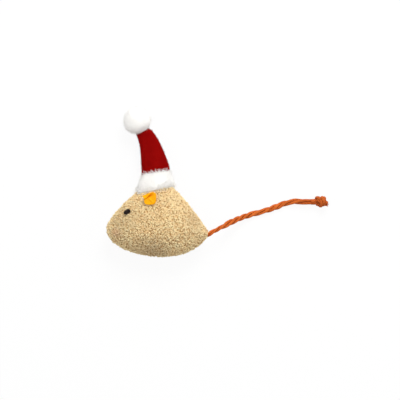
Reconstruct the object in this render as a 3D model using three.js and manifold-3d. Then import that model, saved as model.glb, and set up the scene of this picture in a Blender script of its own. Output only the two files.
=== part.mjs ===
// Catnip mouse in a red cap, lying on its right flank as the photograph shows it from above.
// Millimetres. Nose toward -X, tail toward +X, back and cap toward +Y, +Z up off the surface.
// The origin is the middle of the flat that the right flank rests on.
import * as THREE from 'three';
import { mergeVertices } from 'three/addons/utils/BufferGeometryUtils.js';
import Module from 'manifold-3d';

const wasm = await Module();
wasm.setup();

// Clearances
const SEAT_GAP = 0.3;            // left between two pieces that are sewn or laid together
const SWING_GAP = 0.4;           // left beside a piece that moves

// Body outline, from the middle of the resting flat
const NOSE_REACH = 39.8;         // nose tip toward -X
const NOSE_DROP = 3.8;           // nose tip below the middle
const CHIN_ROUND = 12.7;         // pull of the curve below the nose tip
const BROW_ROUND = 9.3;          // pull of the curve above the nose tip
const PEAK_RISE = 34.5;          // hidden peak of the back, under the cap
const PEAK_FORWARD = 1.5;        // peak toward the nose
const PEAK_ROUND_FRONT = 7.0;    // pull of the curve at the peak, nose side
const PEAK_ROUND_REAR = 13.5;    // pull of the curve at the peak, tail side
const RUMP_REACH = 40.5;         // tail corner toward +X
const RUMP_DROP = 7.0;           // tail corner below the middle
const RUMP_OVER = 21.0;          // pull of the back's edge at the tail corner
const RUMP_OVER_ANGLE = 125;     // direction of that edge in degrees
const RUMP_UNDER = 15.0;         // pull of the belly's edge at the tail corner
const RUMP_UNDER_ANGLE = 242;    // direction of that edge in degrees
const BELLY_DROP = 25.6;         // lowest point of the belly's curve
const BELLY_REARWARD = 4.0;      // that point toward the tail
const BELLY_ROUND_FRONT = 22.0;  // pull of the curve at the belly, nose side
const BELLY_ROUND_REAR = 14.5;   // pull of the curve at the belly, tail side

// Body stuffing and cloth
const BODY_THICKNESS = 38.0;     // across both flanks before the flat is pressed
const DOME_FULLNESS = 2.4;       // higher stays flatter in the middle of the flank
const DOME_EDGE = 0.7;           // higher makes the seam edge sharper
const FLEECE = 2.4;              // cloth with its pile
const REST_FLAT = 0.5;           // depth of the flat that the flank rests on
const SEAM_THREAD = 0.6;         // thickness of the sewing thread in the seam

// Catnip pouch
const POUCH_LENGTH = 26.0;
const POUCH_WIDTH = 20.0;
const POUCH_THICKNESS = 9.0;
const POUCH_CORNER = 5.0;

// Eyes, from the nose tip
const EYE_BACK = 17.0;           // eye toward the tail
const EYE_RISE = 13.3;           // eye above the nose tip
const EYE_LENGTH = 5.6;
const EYE_WIDTH = 4.2;
const EYE_HEIGHT = 1.7;
const EYE_TILT = 30;             // long way of the eye off the body's length, in degrees
const EYE_THREAD = 0.8;

// Ears, from the peak of the back
const EAR_FORWARD = 3.3;         // root of the ear toward the nose
const EAR_BELOW = 18.9;          // root of the ear below the peak
const EAR_LENGTH = 8.6;
const EAR_WIDTH = 9.8;
const EAR_CUP = 8.0;             // radius that the upper ear is cupped to
const EAR_LIFT = 30;             // angle of the upper ear off the flank, in degrees
const PRESSED_CUP = 60.0;        // radius of the lower ear, pressed between flank and surface
const PRESSED_LIFT = 5;          // angle of the lower ear off the flank, in degrees
const EAR_FELT = 1.1;

// Tail cord
const CORD_DIAMETER = 4.0;
const CORD_ANGLE = 28;           // direction in which the cord leaves the corner, in degrees
const CORD_LIE = 0.1;            // cord above the surface it lies on
const ANCHOR_DEPTH = 13.0;       // inner knot from the tail corner
const ANCHOR_DIAMETER = 8.0;     // inner knot
const KNOT_SPACING = 2.6;        // between neighbouring strands of the end knot
const KNOT_STRAND = 2.4;         // squeezed strand in the end knot
const KNOT_STRETCH = 1.12;       // knot drawn out along the cord
const KNOT_TURN = 300;           // knot turned about the cord, in degrees

// Cap, from the peak of the back
const HEM_BELOW = 8.3;           // middle of the hem below the peak
const CAP_SHIFT = 0.9;           // start of the cap's line toward the tail
const HEM_FORWARD = 1.4;         // hem of the brim toward the nose, off that line
const HEM_WIDTH = 34.0;
const HEM_PLUSH = 2.3;           // brim over the flank at the hem
const BRIM_HEIGHT = 13.0;
const BRIM_PUFF = 0.2;           // swelling of the brim at mid height
const CROWN_WIDTH = 24.0;        // brim at its upper edge
const CROWN_REARWARD = 1.2;      // upper edge of the brim toward the tail, off the cap's line
const CROWN_THICKNESS = 15.2;
const CONE_BASE_WIDTH = 20.6;
const CONE_BASE_THICKNESS = 9.0;
const CONE_TIP_WIDTH = 10.8;
const CONE_TIP_THICKNESS = 4.0;
const CONE_FELT = 1.2;
const CONE_TAPER = 1.2;          // higher keeps the cone thick for longer
const CONE_BELLY = 1.7;          // swelling of the cone toward the tail
const BELLY_PLACE = 0.4;         // lower brings that swelling nearer the brim
const CAP_RISE = 38.5;           // cone tip above the peak
const CAP_LEAN = 10.8;           // cone tip toward the nose
const CAP_STRAIGHT = 16.0;       // pull of the cap's line at the hem
const CAP_TILT = 97;             // direction of the cap's line at the hem, in degrees
const CAP_BEND = 17.0;           // pull of the cap's line at the tip
const CAP_BEND_ANGLE = 121;      // direction of the cap's line at the tip, in degrees
const CAP_DROOP = 3.2;           // fall of the cap's line over that pull
const TACK_BELOW = 5.0;          // tie thread of the cap below the peak
const TACK_THREAD = 1.0;

// Pompom
const POMPOM_DIAMETER = 20.6;
const POMPOM_REACH = 7.6;        // cone tip to the middle of the pompom
const POMPOM_ANGLE = 119.5;      // direction of the pompom from the tip, in degrees
const POMPOM_SWING = 35;         // swing to each side in degrees
const POMPOM_THREAD = 0.8;

// Fineness of the faceted forms
const OUTLINE_STEPS = 52;
const DOME_STEPS = [0, 0.22, 0.42, 0.6, 0.75, 0.87, 0.95, 0.988, 1];
const RING_SIDES = 24;
const CORD_SIDES = 8;
const FINE_SIDES = 6;
const CORD_STEPS = 34;
const KNOT_STEPS = 44;

// Positions that follow from the sizes above
const HALF_BODY = BODY_THICKNESS / 2;
const SEAM_HEIGHT = HALF_BODY - REST_FLAT;
const WIDE = 4 * (NOSE_REACH + RUMP_REACH);
const nose = new THREE.Vector2(-NOSE_REACH, -NOSE_DROP);
const peak = new THREE.Vector2(-PEAK_FORWARD, PEAK_RISE);
const rump = new THREE.Vector2(RUMP_REACH, -RUMP_DROP);
const belly = new THREE.Vector2(BELLY_REARWARD, -BELLY_DROP);
const POMPOM_RADIUS = POMPOM_DIAMETER / 2;
const CORD_RADIUS = CORD_DIAMETER / 2;

// Route of the tail: along X and along Y from the tail corner, then the share of its fall left.
const TAIL_ROUTE = [
  [0, 0, 1], [3.5, 1.9, 0.99], [7.5, 4.0, 0.93], [12, 6.3, 0.76], [16.5, 8.6, 0.53],
  [21, 10.6, 0.31], [26, 12.4, 0.14], [31, 14.0, 0.04], [36, 15.3, 0], [42, 16.9, 0],
  [48, 18.9, 0], [54, 21.2, 0], [58.5, 22.9, 0],
];
// Last stretch into the knot: along X and along Y likewise, then the share of its rise made.
const KNOT_RISE = [[65, 24.1, 0.5], [72, 24.2, 1], [77.9, 23.9, 1]];

// Route of the end knot in strand spacings: in, round the leaving strand, back, round the
// entering strand and out, which is an overhand knot.
const KNOT_ROUTE = [
  [-2.3, 0.3, 0], [-1.4, 0.35, 0], [-0.3, 0.64, 0], [0.55, 0.8, 0.25], [1, 0.6, 1.15],
  [1, -0.4, 1.7], [0.95, -1.4, 1.15], [0.8, -1.5, 0.05], [0.4, -0.9, -0.7],
  [-0.2, -0.35, -0.9], [-0.75, 0.4, -1.25], [-0.95, 1.35, -0.95], [-1, 1.8, 0.05],
  [-0.9, 1.25, 1.05], [-0.5, 0.2, 1.2], [0.1, -0.38, 0.75], [1.1, -0.42, 0.48],
  [1.9, -0.9, -0.1],
];

const radians = THREE.MathUtils.degToRad;
const lerp = THREE.MathUtils.lerp;

// Unit vector in the plane of the surface.
function heading(degrees) {
  return new THREE.Vector2(Math.cos(radians(degrees)), Math.sin(radians(degrees)));
}

// Closed loop of points round the body, counter-clockwise from the tail corner.
function bodyOutline() {
  const over = rump.clone().addScaledVector(heading(RUMP_OVER_ANGLE), RUMP_OVER);
  const under = rump.clone().addScaledVector(heading(RUMP_UNDER_ANGLE), RUMP_UNDER);
  const path = new THREE.Path();
  path.moveTo(rump.x, rump.y);
  path.bezierCurveTo(over.x, over.y, peak.x + PEAK_ROUND_REAR, peak.y, peak.x, peak.y);
  path.bezierCurveTo(peak.x - PEAK_ROUND_FRONT, peak.y, nose.x, nose.y + BROW_ROUND, nose.x, nose.y);
  path.bezierCurveTo(
    nose.x, nose.y - CHIN_ROUND, belly.x - BELLY_ROUND_FRONT, belly.y, belly.x, belly.y);
  path.bezierCurveTo(belly.x + BELLY_ROUND_REAR, belly.y, under.x, under.y, rump.x, rump.y);
  return path.getSpacedPoints(OUTLINE_STEPS).slice(0, OUTLINE_STEPS);
}

// Rounded rectangle as a closed loop, counter-clockwise.
function roundedLoop(length, width, corner) {
  const x = length / 2 - corner;
  const y = width / 2 - corner;
  const path = new THREE.Path();
  path.absarc(x, y, corner, 0, Math.PI / 2);
  path.absarc(-x, y, corner, Math.PI / 2, Math.PI);
  path.absarc(-x, -y, corner, Math.PI, 1.5 * Math.PI);
  path.absarc(x, -y, corner, 1.5 * Math.PI, 2 * Math.PI);
  path.closePath();
  return path.getSpacedPoints(RING_SIDES).slice(0, RING_SIDES);
}

// The same loop moved inward, or outward for a negative distance.
function insetLoop(loop, distance) {
  return loop.map((point, i) => {
    const before = loop[(i + loop.length - 1) % loop.length];
    const after = loop[(i + 1) % loop.length];
    const along = after.clone().sub(before).normalize();
    return new THREE.Vector2(point.x - along.y * distance, point.y + along.x * distance);
  });
}

// Height of a stuffed flank, as a share, at a share of the way from its middle to its edge.
function dome(share) {
  return Math.pow(1 - Math.pow(share, DOME_FULLNESS), DOME_EDGE);
}

// One level ring over a loop shrunk toward the middle.
function levelRing(loop, share, z) {
  return loop.map((point) => new THREE.Vector3(point.x * share, point.y * share, z));
}

// Rings of a domed flank from its top to its edge.
function domeRings(loop, half, base = 0) {
  return DOME_STEPS.map((share) => levelRing(loop, share, base + half * dome(share)));
}

// Closed skin over a row of rings. Rings run against the way the row travels.
function skin(rings) {
  const positions = [];
  const index = [];
  const count = rings[0].length;
  const middle = (ring) => ring.reduce((sum, p) => sum.add(p), new THREE.Vector3())
    .divideScalar(ring.length);
  const put = (p) => positions.push(p.x, p.y, p.z) / 3 - 1;
  const first = put(middle(rings[0]));
  const flatStart = rings[0].every((p) => p.distanceTo(rings[0][0]) < 1e-6);
  const last = rings[rings.length - 1];
  const flatEnd = last.every((p) => p.distanceTo(last[0]) < 1e-6);
  const body = rings.slice(flatStart ? 1 : 0, flatEnd ? -1 : undefined);
  const starts = body.map((ring) => ring.map(put)[0]);
  const end = put(middle(last));
  for (let i = 0; i < count; i += 1) {
    const next = (i + 1) % count;
    index.push(first, starts[0] + i, starts[0] + next);
    for (let r = 0; r + 1 < starts.length; r += 1) {
      index.push(starts[r] + i, starts[r + 1] + i, starts[r + 1] + next);
      index.push(starts[r] + i, starts[r + 1] + next, starts[r] + next);
    }
    index.push(end, starts[starts.length - 1] + next, starts[starts.length - 1] + i);
  }
  const geometry = new THREE.BufferGeometry();
  geometry.setAttribute('position', new THREE.Float32BufferAttribute(positions, 3));
  geometry.setIndex(index);
  return geometry;
}

// Boolean solid from a closed geometry.
function solid(geometry) {
  const bare = geometry.clone();
  bare.deleteAttribute('normal');
  bare.deleteAttribute('uv');
  const merged = mergeVertices(bare, 1e-4);
  return new wasm.Manifold(new wasm.Mesh({
    numProp: 3,
    vertProperties: new Float32Array(merged.attributes.position.array),
    triVerts: new Uint32Array(merged.index.array),
  }));
}

// Geometry from a boolean solid.
function geometryOf(body) {
  const mesh = body.getMesh();
  const geometry = new THREE.BufferGeometry();
  geometry.setAttribute('position', new THREE.Float32BufferAttribute(mesh.vertProperties, 3));
  geometry.setIndex(new THREE.Uint32BufferAttribute(mesh.triVerts, 1));
  return geometry;
}

// Rod between two points.
function rod(from, to, diameter, sides = CORD_SIDES) {
  const along = to.clone().sub(from);
  const geometry = new THREE.CylinderGeometry(diameter / 2, diameter / 2, along.length(), sides);
  const turn = new THREE.Quaternion().setFromUnitVectors(
    new THREE.Vector3(0, 1, 0), along.clone().normalize());
  const middle = from.clone().add(to).multiplyScalar(0.5);
  return geometry.applyQuaternion(turn).translate(middle.x, middle.y, middle.z);
}

// Ball about a point.
function ball(middle, diameter, sides) {
  const geometry = new THREE.SphereGeometry(diameter / 2, sides, Math.round(sides * 0.6));
  return geometry.translate(middle.x, middle.y, middle.z);
}

// Tube of one diameter along a curve.
function tube(curve, diameter, steps, sides) {
  const section = new THREE.Shape();
  section.absarc(0, 0, diameter / 2, 0, 2 * Math.PI);
  const round = new THREE.Shape(section.getSpacedPoints(sides).slice(0, sides));
  return new THREE.ExtrudeGeometry(round, { steps, extrudePath: curve, curveSegments: sides });
}

// Oval ring square to a curve, at a share of the curve's length, slid off it sideways.
function crossRing(curve, share, width, thickness, slide) {
  const along = curve.getTangentAt(share);
  const side = along.clone().cross(new THREE.Vector3(0, 0, 1)).normalize();
  const up = side.clone().cross(along);
  const middle = curve.getPointAt(share).addScaledVector(side, slide);
  return Array.from({ length: RING_SIDES }, (_, i) => {
    const angle = (2 * Math.PI * i) / RING_SIDES;
    return middle.clone()
      .addScaledVector(side, (width / 2) * Math.cos(angle))
      .addScaledVector(up, (thickness / 2) * Math.sin(angle));
  });
}

const outline = bodyOutline();

// Distance from the middle to the outline along a direction.
function outlineReach(direction) {
  for (let i = 0; i < outline.length; i += 1) {
    const start = outline[i];
    const edge = outline[(i + 1) % outline.length].clone().sub(start);
    const bend = direction.cross(edge);
    const along = start.cross(edge) / bend;
    const across = start.cross(direction) / bend;
    if (along > 0 && across >= 0 && across <= 1) return along;
  }
  return 0;
}

// Height of the flank over the seam at a place on it.
function flankHeight(x, y) {
  const place = new THREE.Vector2(x, y);
  const share = place.length() / outlineReach(place.clone().normalize());
  return HALF_BODY * dome(Math.min(share, 1));
}

// Frame on a flank: across it, along it toward the back, and out of it. Side 1 is the left.
function flankFrame(x, y, side) {
  const step = 0.5;
  const slopeX = (flankHeight(x + step, y) - flankHeight(x - step, y)) / (2 * step);
  const slopeY = (flankHeight(x, y + step) - flankHeight(x, y - step)) / (2 * step);
  const out = new THREE.Vector3(-slopeX, -slopeY, 1).normalize();
  out.z *= side;
  const along = new THREE.Vector3(0, 1, 0).addScaledVector(out, -out.y).normalize();
  const across = along.clone().cross(out);
  const place = new THREE.Vector3(x, y, SEAM_HEIGHT + side * flankHeight(x, y));
  return { place, across, along, out };
}

// Matrix of a frame, lifted off the flank.
function frameMatrix(frame, lift) {
  const place = frame.place.clone().addScaledVector(frame.out, lift);
  return new THREE.Matrix4().makeBasis(frame.across, frame.along, frame.out).setPosition(place);
}

// One fleece panel: domed cloth with a groove for the seam thread in its edge.
function panelSolid(side) {
  const groove = SEAM_THREAD / 2 + SEAT_GAP;
  const base = SEAT_GAP / 2;
  const rim = (distance, z) => levelRing(insetLoop(outline, distance), 1, z);
  const inside = domeRings(insetLoop(outline, FLEECE), HALF_BODY - FLEECE, base).reverse();
  const rings = [
    ...domeRings(outline, HALF_BODY - base, base),
    rim(FLEECE / 2 - groove, base),
    rim(FLEECE / 2 - groove, groove),
    rim(FLEECE / 2 + groove, groove),
    rim(FLEECE / 2 + groove, base),
    ...inside,
  ];
  if (side < 0) rings.forEach((ring) => ring.reverse().forEach((p) => { p.z = -p.z; }));
  return solid(skin(rings).translate(0, 0, SEAM_HEIGHT));
}

// Stuffed form of both flanks over a loop, as one solid about the seam.
function pillowSolid(loop, half, x = 0, y = 0) {
  const top = domeRings(loop, half);
  const bottom = domeRings(loop, -half).reverse().slice(1);
  return solid(skin([...top, ...bottom]).translate(x, y, SEAM_HEIGHT));
}

// Cap line from the middle of the hem to the tip of the cone.
function capLine() {
  const hem = new THREE.Vector3(peak.x + CAP_SHIFT, peak.y - HEM_BELOW, SEAM_HEIGHT);
  const tip = new THREE.Vector3(peak.x - CAP_LEAN, peak.y + CAP_RISE, POMPOM_RADIUS);
  const tilt = heading(CAP_TILT).multiplyScalar(CAP_STRAIGHT);
  const rising = hem.clone().add(new THREE.Vector3(tilt.x, tilt.y, 0));
  const bend = heading(CAP_BEND_ANGLE).multiplyScalar(-CAP_BEND);
  const bending = tip.clone().add(new THREE.Vector3(bend.x, bend.y, CAP_DROOP));
  return new THREE.CubicBezierCurve3(hem, rising, bending, tip);
}

const materials = {
  fleece: new THREE.MeshStandardMaterial({ color: 0xd9ba88, roughness: 0.95, metalness: 0 }),
  filling: new THREE.MeshStandardMaterial({ color: 0xf2efe8, roughness: 1, metalness: 0 }),
  pouch: new THREE.MeshStandardMaterial({ color: 0xa8b38a, roughness: 0.9, metalness: 0 }),
  thread: new THREE.MeshStandardMaterial({ color: 0xc9ab7d, roughness: 0.8, metalness: 0 }),
  eye: new THREE.MeshStandardMaterial({ color: 0x1a0f0a, roughness: 0.45, metalness: 0 }),
  ear: new THREE.MeshStandardMaterial({ color: 0xf8b127, roughness: 0.9, metalness: 0 }),
  cord: new THREE.MeshStandardMaterial({ color: 0xbb6232, roughness: 0.85, metalness: 0 }),
  plush: new THREE.MeshStandardMaterial({ color: 0xf7f4ee, roughness: 1, metalness: 0 }),
  cap: new THREE.MeshStandardMaterial({ color: 0x900a08, roughness: 0.9, metalness: 0 }),
};

const mouse = new THREE.Group();
mouse.name = 'catnip_mouse';

// Named piece with a finish of its own, hung on a group without moving it.
function add(name, geometry, material, carrier = mouse) {
  const mesh = new THREE.Mesh(geometry, material.clone());
  mesh.name = name;
  mouse.add(mesh);
  if (carrier !== mouse) carrier.attach(mesh);
  return mesh;
}

// Group that a moving piece turns on, with its X axis along the hinge.
function hinge(name, place, axis, carrier = mouse) {
  const group = new THREE.Group();
  group.name = name;
  group.position.copy(place);
  group.quaternion.setFromUnitVectors(new THREE.Vector3(1, 0, 0), axis.clone().normalize());
  mouse.add(group);
  if (carrier !== mouse) carrier.attach(group);
  mouse.updateMatrixWorld(true);
  return group;
}

// Tail: where it leaves the seam corner, and the stub and knot that hold it inside
const inward = rump.clone().negate().normalize();
const leave = heading(CORD_ANGLE);
const tailRoot = new THREE.Vector3(rump.x, rump.y, SEAM_HEIGHT);
const anchorPlace = new THREE.Vector3(
  rump.x + inward.x * ANCHOR_DEPTH, rump.y + inward.y * ANCHOR_DEPTH, SEAM_HEIGHT);
const stubEnd = new THREE.Vector3(
  rump.x + inward.x * (CORD_RADIUS + SEAT_GAP), rump.y + inward.y * (CORD_RADIUS + SEAT_GAP),
  SEAM_HEIGHT);
const beyond = new THREE.Vector3(
  rump.x - inward.x * ANCHOR_DEPTH, rump.y - inward.y * ANCHOR_DEPTH, SEAM_HEIGHT);
const tailHole = solid(rod(anchorPlace, beyond, CORD_DIAMETER + 2 * SWING_GAP, RING_SIDES / 2));
const anchor = solid(rod(anchorPlace, stubEnd, CORD_DIAMETER))
  .add(solid(ball(anchorPlace, ANCHOR_DIAMETER, RING_SIDES / 2)));
const anchorPocket = solid(ball(anchorPlace, ANCHOR_DIAMETER + 2 * SEAT_GAP, RING_SIDES / 2));

// Threads that run from flank to flank: between the eyes, and through the cap's brim
const eyeX = nose.x + EYE_BACK;
const eyeY = nose.y + EYE_RISE;
const eyeReach = flankHeight(eyeX, eyeY) - SEAT_GAP;
const throughHead = (diameter, reach) => solid(rod(
  new THREE.Vector3(eyeX, eyeY, SEAM_HEIGHT - reach),
  new THREE.Vector3(eyeX, eyeY, SEAM_HEIGHT + reach), diameter, FINE_SIDES));
const eyeHole = throughHead(EYE_THREAD + 2 * SEAT_GAP, HALF_BODY);
const tackX = peak.x;
const tackY = peak.y - TACK_BELOW;
const tackReach = flankHeight(tackX, tackY) + HEM_PLUSH / 2;
const throughPeak = (diameter, reach) => solid(rod(
  new THREE.Vector3(tackX, tackY, SEAM_HEIGHT - reach),
  new THREE.Vector3(tackX, tackY, SEAM_HEIGHT + reach), diameter, FINE_SIDES));
const tackHole = throughPeak(TACK_THREAD + 2 * SEAT_GAP, tackReach + SEAT_GAP);

// Body: two panels sewn edge to edge, the right one pressed flat where it rests
const floor = solid(new THREE.BoxGeometry(WIDE, WIDE, WIDE).translate(0, 0, -WIDE / 2));
const bored = (body) => body.subtract(tailHole).subtract(eyeHole).subtract(tackHole);
add('body_left_panel', geometryOf(bored(panelSolid(1))), materials.fleece);
add('body_right_panel', geometryOf(bored(panelSolid(-1)).subtract(floor)), materials.fleece);

// Seam threads in the groove between the panels, one sewn by machine and one closing the belly
const threadLoop = insetLoop(outline, FLEECE / 2)
  .map((point) => new THREE.Vector3(point.x, point.y, SEAM_HEIGHT));
const closingStart = Math.round(OUTLINE_STEPS * 0.76);
const seamRun = (from, to) => new THREE.CatmullRomCurve3(threadLoop.slice(from, to + 1));
add('seam_thread', tube(seamRun(1, closingStart), SEAM_THREAD, closingStart - 1, FINE_SIDES),
  materials.thread);
add('closing_thread', tube(seamRun(closingStart + 1, OUTLINE_STEPS - 1), SEAM_THREAD,
  OUTLINE_STEPS - 2 - closingStart, FINE_SIDES), materials.thread);

// Filling with a pocket, open toward the belly, that the catnip pouch was pushed into
const pouchLoop = roundedLoop(POUCH_LENGTH, POUCH_WIDTH, POUCH_CORNER);
const pouchRoom = pillowSolid(insetLoop(pouchLoop, -SEAT_GAP), POUCH_THICKNESS / 2 + SEAT_GAP);
const mouthThickness = POUCH_THICKNESS / 2;
const mouth = solid(new THREE.BoxGeometry(POUCH_LENGTH / 2, WIDE, mouthThickness)
  .translate(0, -WIDE / 2, SEAM_HEIGHT));
const filling = pillowSolid(insetLoop(outline, FLEECE + SEAT_GAP), HALF_BODY - FLEECE - SEAT_GAP)
  .subtract(pouchRoom).subtract(mouth).subtract(tailHole).subtract(anchorPocket)
  .subtract(eyeHole).subtract(tackHole);
add('filling', geometryOf(filling), materials.filling);
add('catnip_pouch', geometryOf(pillowSolid(pouchLoop, POUCH_THICKNESS / 2)), materials.pouch);

// Eyes and the thread that ties them through the head
add('eye_thread', geometryOf(throughHead(EYE_THREAD, eyeReach)), materials.eye);
for (const [name, side] of [['eye_left', 1], ['eye_right', -1]]) {
  const arc = Array.from({ length: FINE_SIDES }, (_, i) => {
    const angle = (Math.PI / 2) * (i / (FINE_SIDES - 1));
    return new THREE.Vector2(Math.cos(angle), Math.sin(angle));
  });
  arc[FINE_SIDES - 1].x = 0;
  const bead = new THREE.LatheGeometry([new THREE.Vector2(0, 0), ...arc], RING_SIDES / 2);
  bead.rotateX(Math.PI / 2).scale(EYE_LENGTH / 2, EYE_WIDTH / 2, EYE_HEIGHT);
  bead.rotateZ(side * radians(EYE_TILT));
  bead.applyMatrix4(frameMatrix(flankFrame(eyeX, eyeY, side), SEAT_GAP));
  add(name, geometryOf(solid(bead)), materials.eye);
}

// Ears: cupped felt petals on a hinge line at their sewn root
function earGeometry(cup, lift) {
  const across = 6;
  const rows = 6;
  const rings = Array.from({ length: rows + 1 }, (_, row) => {
    const share = row / rows;
    const half = (EAR_WIDTH / 2) * Math.pow(Math.sin(Math.PI * lerp(0.2, 0.92, share)), 0.6);
    const edge = (i, depth) => {
      const bend = (half * lerp(-1, 1, i / across)) / cup;
      const radius = cup - depth;
      return new THREE.Vector3(radius * Math.sin(bend), EAR_LENGTH * share,
        cup - EAR_FELT / 2 - radius * Math.cos(bend));
    };
    const under = Array.from({ length: across + 1 }, (_, i) => edge(i, 0));
    const over = Array.from({ length: across + 1 }, (_, i) => edge(across - i, EAR_FELT));
    return [...over, ...under];
  });
  return skin(rings).rotateX(radians(lift));
}
const earX = peak.x - EAR_FORWARD;
const earY = peak.y - EAR_BELOW;
const ears = [['ear_left', 1, EAR_CUP, EAR_LIFT], ['ear_right', -1, PRESSED_CUP, PRESSED_LIFT]];
for (const [name, side, cup, lift] of ears) {
  const frame = flankFrame(earX, earY, side);
  const matrix = frameMatrix(frame, SEAT_GAP + EAR_FELT / 2);
  const root = new THREE.Vector3().setFromMatrixPosition(matrix);
  const turn = hinge(`${name}_flap`, root, frame.across);
  add(name, geometryOf(solid(earGeometry(cup, lift).applyMatrix4(matrix))), materials.ear, turn);
}

// Tail: end knot set on the surface, then the cord from the corner into it
const knotTurn = radians(KNOT_TURN);
const knotCurve = new THREE.CatmullRomCurve3(KNOT_ROUTE.map(
  ([x, y, z]) => new THREE.Vector3(x * KNOT_STRETCH, y, z).multiplyScalar(KNOT_SPACING)));
const knot = tube(knotCurve, KNOT_STRAND, KNOT_STEPS, CORD_SIDES);
knot.rotateX(knotTurn);
knot.computeBoundingBox();
const knotEntry = knotCurve.getPoint(0).applyAxisAngle(new THREE.Vector3(1, 0, 0), knotTurn);
const [endX, endY] = KNOT_RISE[KNOT_RISE.length - 1];
const knotShift = new THREE.Vector3(
  rump.x + endX + SEAT_GAP - knotEntry.x, rump.y + endY - knotEntry.y, -knot.boundingBox.min.z);
knot.translate(knotShift.x, knotShift.y, knotShift.z);
const lying = CORD_RADIUS + CORD_LIE;
const routePoint = (top) => ([x, y, share]) => new THREE.Vector3(
  tailRoot.x + x, tailRoot.y + y, lerp(lying, top, share));
const route = [
  ...TAIL_ROUTE.map(routePoint(SEAM_HEIGHT)),
  ...KNOT_RISE.map(routePoint(knotEntry.z + knotShift.z)),
];
const cord = solid(tube(new THREE.CatmullRomCurve3(route), CORD_DIAMETER, CORD_STEPS, CORD_SIDES))
  .add(solid(ball(tailRoot, CORD_DIAMETER, CORD_SIDES)));
const tailSwing = hinge('tail_swing', tailRoot, new THREE.Vector3(0, 0, 1));
add('tail_inner_knot', geometryOf(anchor), materials.cord);
add('tail_cord', geometryOf(cord), materials.cord, tailSwing);
add('tail_knot', geometryOf(solid(knot)), materials.cord, tailSwing);

// Cap brim: plush band round the peak of the back
const line = capLine();
const lineLength = line.getLength();
const brimTop = BRIM_HEIGHT / lineLength;
const hemThickness = 2 * (flankHeight(peak.x, peak.y - HEM_BELOW) + HEM_PLUSH);
const brimRings = Array.from({ length: 6 }, (_, i) => {
  const share = i / 5;
  const puff = 2 * BRIM_PUFF * Math.sin(Math.PI * share);
  return crossRing(line, share * brimTop, lerp(HEM_WIDTH, CROWN_WIDTH, share) + puff,
    lerp(hemThickness, CROWN_THICKNESS, share) + puff,
    lerp(-HEM_FORWARD, CROWN_REARWARD, share));
});
const bodyRoom = pillowSolid(insetLoop(outline, -SEAT_GAP), HALF_BODY + SEAT_GAP);
const brim = solid(skin(brimRings)).subtract(bodyRoom).subtract(tackHole);
add('hat_brim', geometryOf(brim), materials.plush);
add('hat_tie_thread', geometryOf(throughPeak(TACK_THREAD, tackReach)), materials.thread);

// Cap cone: flattened felt cone, open below, on a hinge along the upper edge of its base
const coneStart = (BRIM_HEIGHT + SEAT_GAP) / lineLength;
const coneRing = (share, felt, end) => {
  const swell = CONE_BELLY * Math.sin(Math.PI * Math.pow(share, BELLY_PLACE));
  const thickness = lerp(CONE_BASE_THICKNESS, CONE_TIP_THICKNESS, Math.pow(share, CONE_TAPER));
  return crossRing(line, lerp(coneStart, 1, share),
    (lerp(CONE_BASE_WIDTH, CONE_TIP_WIDTH, share) + swell - 2 * felt) * end,
    (thickness - 2 * felt) * end, swell / 2);
};
const coneShares = [0, 0.16, 0.32, 0.48, 0.64, 0.78, 0.9];
const coneOutside = [...coneShares.map((share) => coneRing(share, 0, 1)),
  coneRing(0.96, 0, 0.85), coneRing(1, 0, 0.5)];
const coneInside = coneShares.map((share) => coneRing(share, CONE_FELT, 1)).reverse();
const coneAxis = line.getTangentAt(coneStart).cross(new THREE.Vector3(0, 0, 1)).normalize();
const coneUp = coneAxis.clone().cross(line.getTangentAt(coneStart));
const coneRoot = line.getPointAt(coneStart).addScaledVector(coneUp, CONE_BASE_THICKNESS / 2);
const hatFlop = hinge('hat_flop', coneRoot, coneAxis);
add('hat_cone', geometryOf(solid(skin([...coneInside, ...coneOutside]))), materials.cap, hatFlop);

// Pompom: a ball slotted for the tip of the cone, and the thread that ties it there
const tip = line.getPointAt(1);
const tipAlong = line.getTangentAt(1);
const tipSide = tipAlong.clone().cross(new THREE.Vector3(0, 0, 1)).normalize();
const tipUp = tipSide.clone().cross(tipAlong);
const swingRoom = (CONE_TIP_WIDTH / 4) * Math.sin(radians(POMPOM_SWING)) + 2 * SWING_GAP;
const slotLength = POMPOM_DIAMETER;
const slot = new THREE.BoxGeometry(
  2 * POMPOM_DIAMETER, slotLength, CONE_TIP_THICKNESS + 4 * SWING_GAP);
slot.translate(0, swingRoom - slotLength / 2, 0);
slot.applyMatrix4(new THREE.Matrix4().makeBasis(tipSide, tipAlong, tipUp).setPosition(tip));
const puff = heading(POMPOM_ANGLE).multiplyScalar(POMPOM_REACH);
const pompomPlace = new THREE.Vector3(tip.x + puff.x, tip.y + puff.y, POMPOM_RADIUS);
const pompom = solid(ball(pompomPlace, POMPOM_DIAMETER, RING_SIDES)).subtract(solid(slot));
const pompomSwing = hinge('pompom_swing', tip, tipUp, hatFlop);
add('hat_pompom', geometryOf(pompom), materials.plush, pompomSwing);
const tieFrom = tip.clone().addScaledVector(tipAlong, SEAT_GAP);
const tieTo = tip.clone().addScaledVector(tipAlong, swingRoom - SEAT_GAP);
add('pompom_thread', geometryOf(solid(rod(tieFrom, tieTo, POMPOM_THREAD, FINE_SIDES))),
  materials.thread, hatFlop);

export default mouse;
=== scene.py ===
"""Looks of a stuffed catnip mouse in a red cap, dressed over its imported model.

Sizes are written in millimetres, as a toy maker would, and every mesh is made in
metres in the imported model's frame: nose towards -X, cap towards +Y, up is +Z.
"""

import logging
import math
from dataclasses import KW_ONLY, dataclass
from enum import Enum

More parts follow.
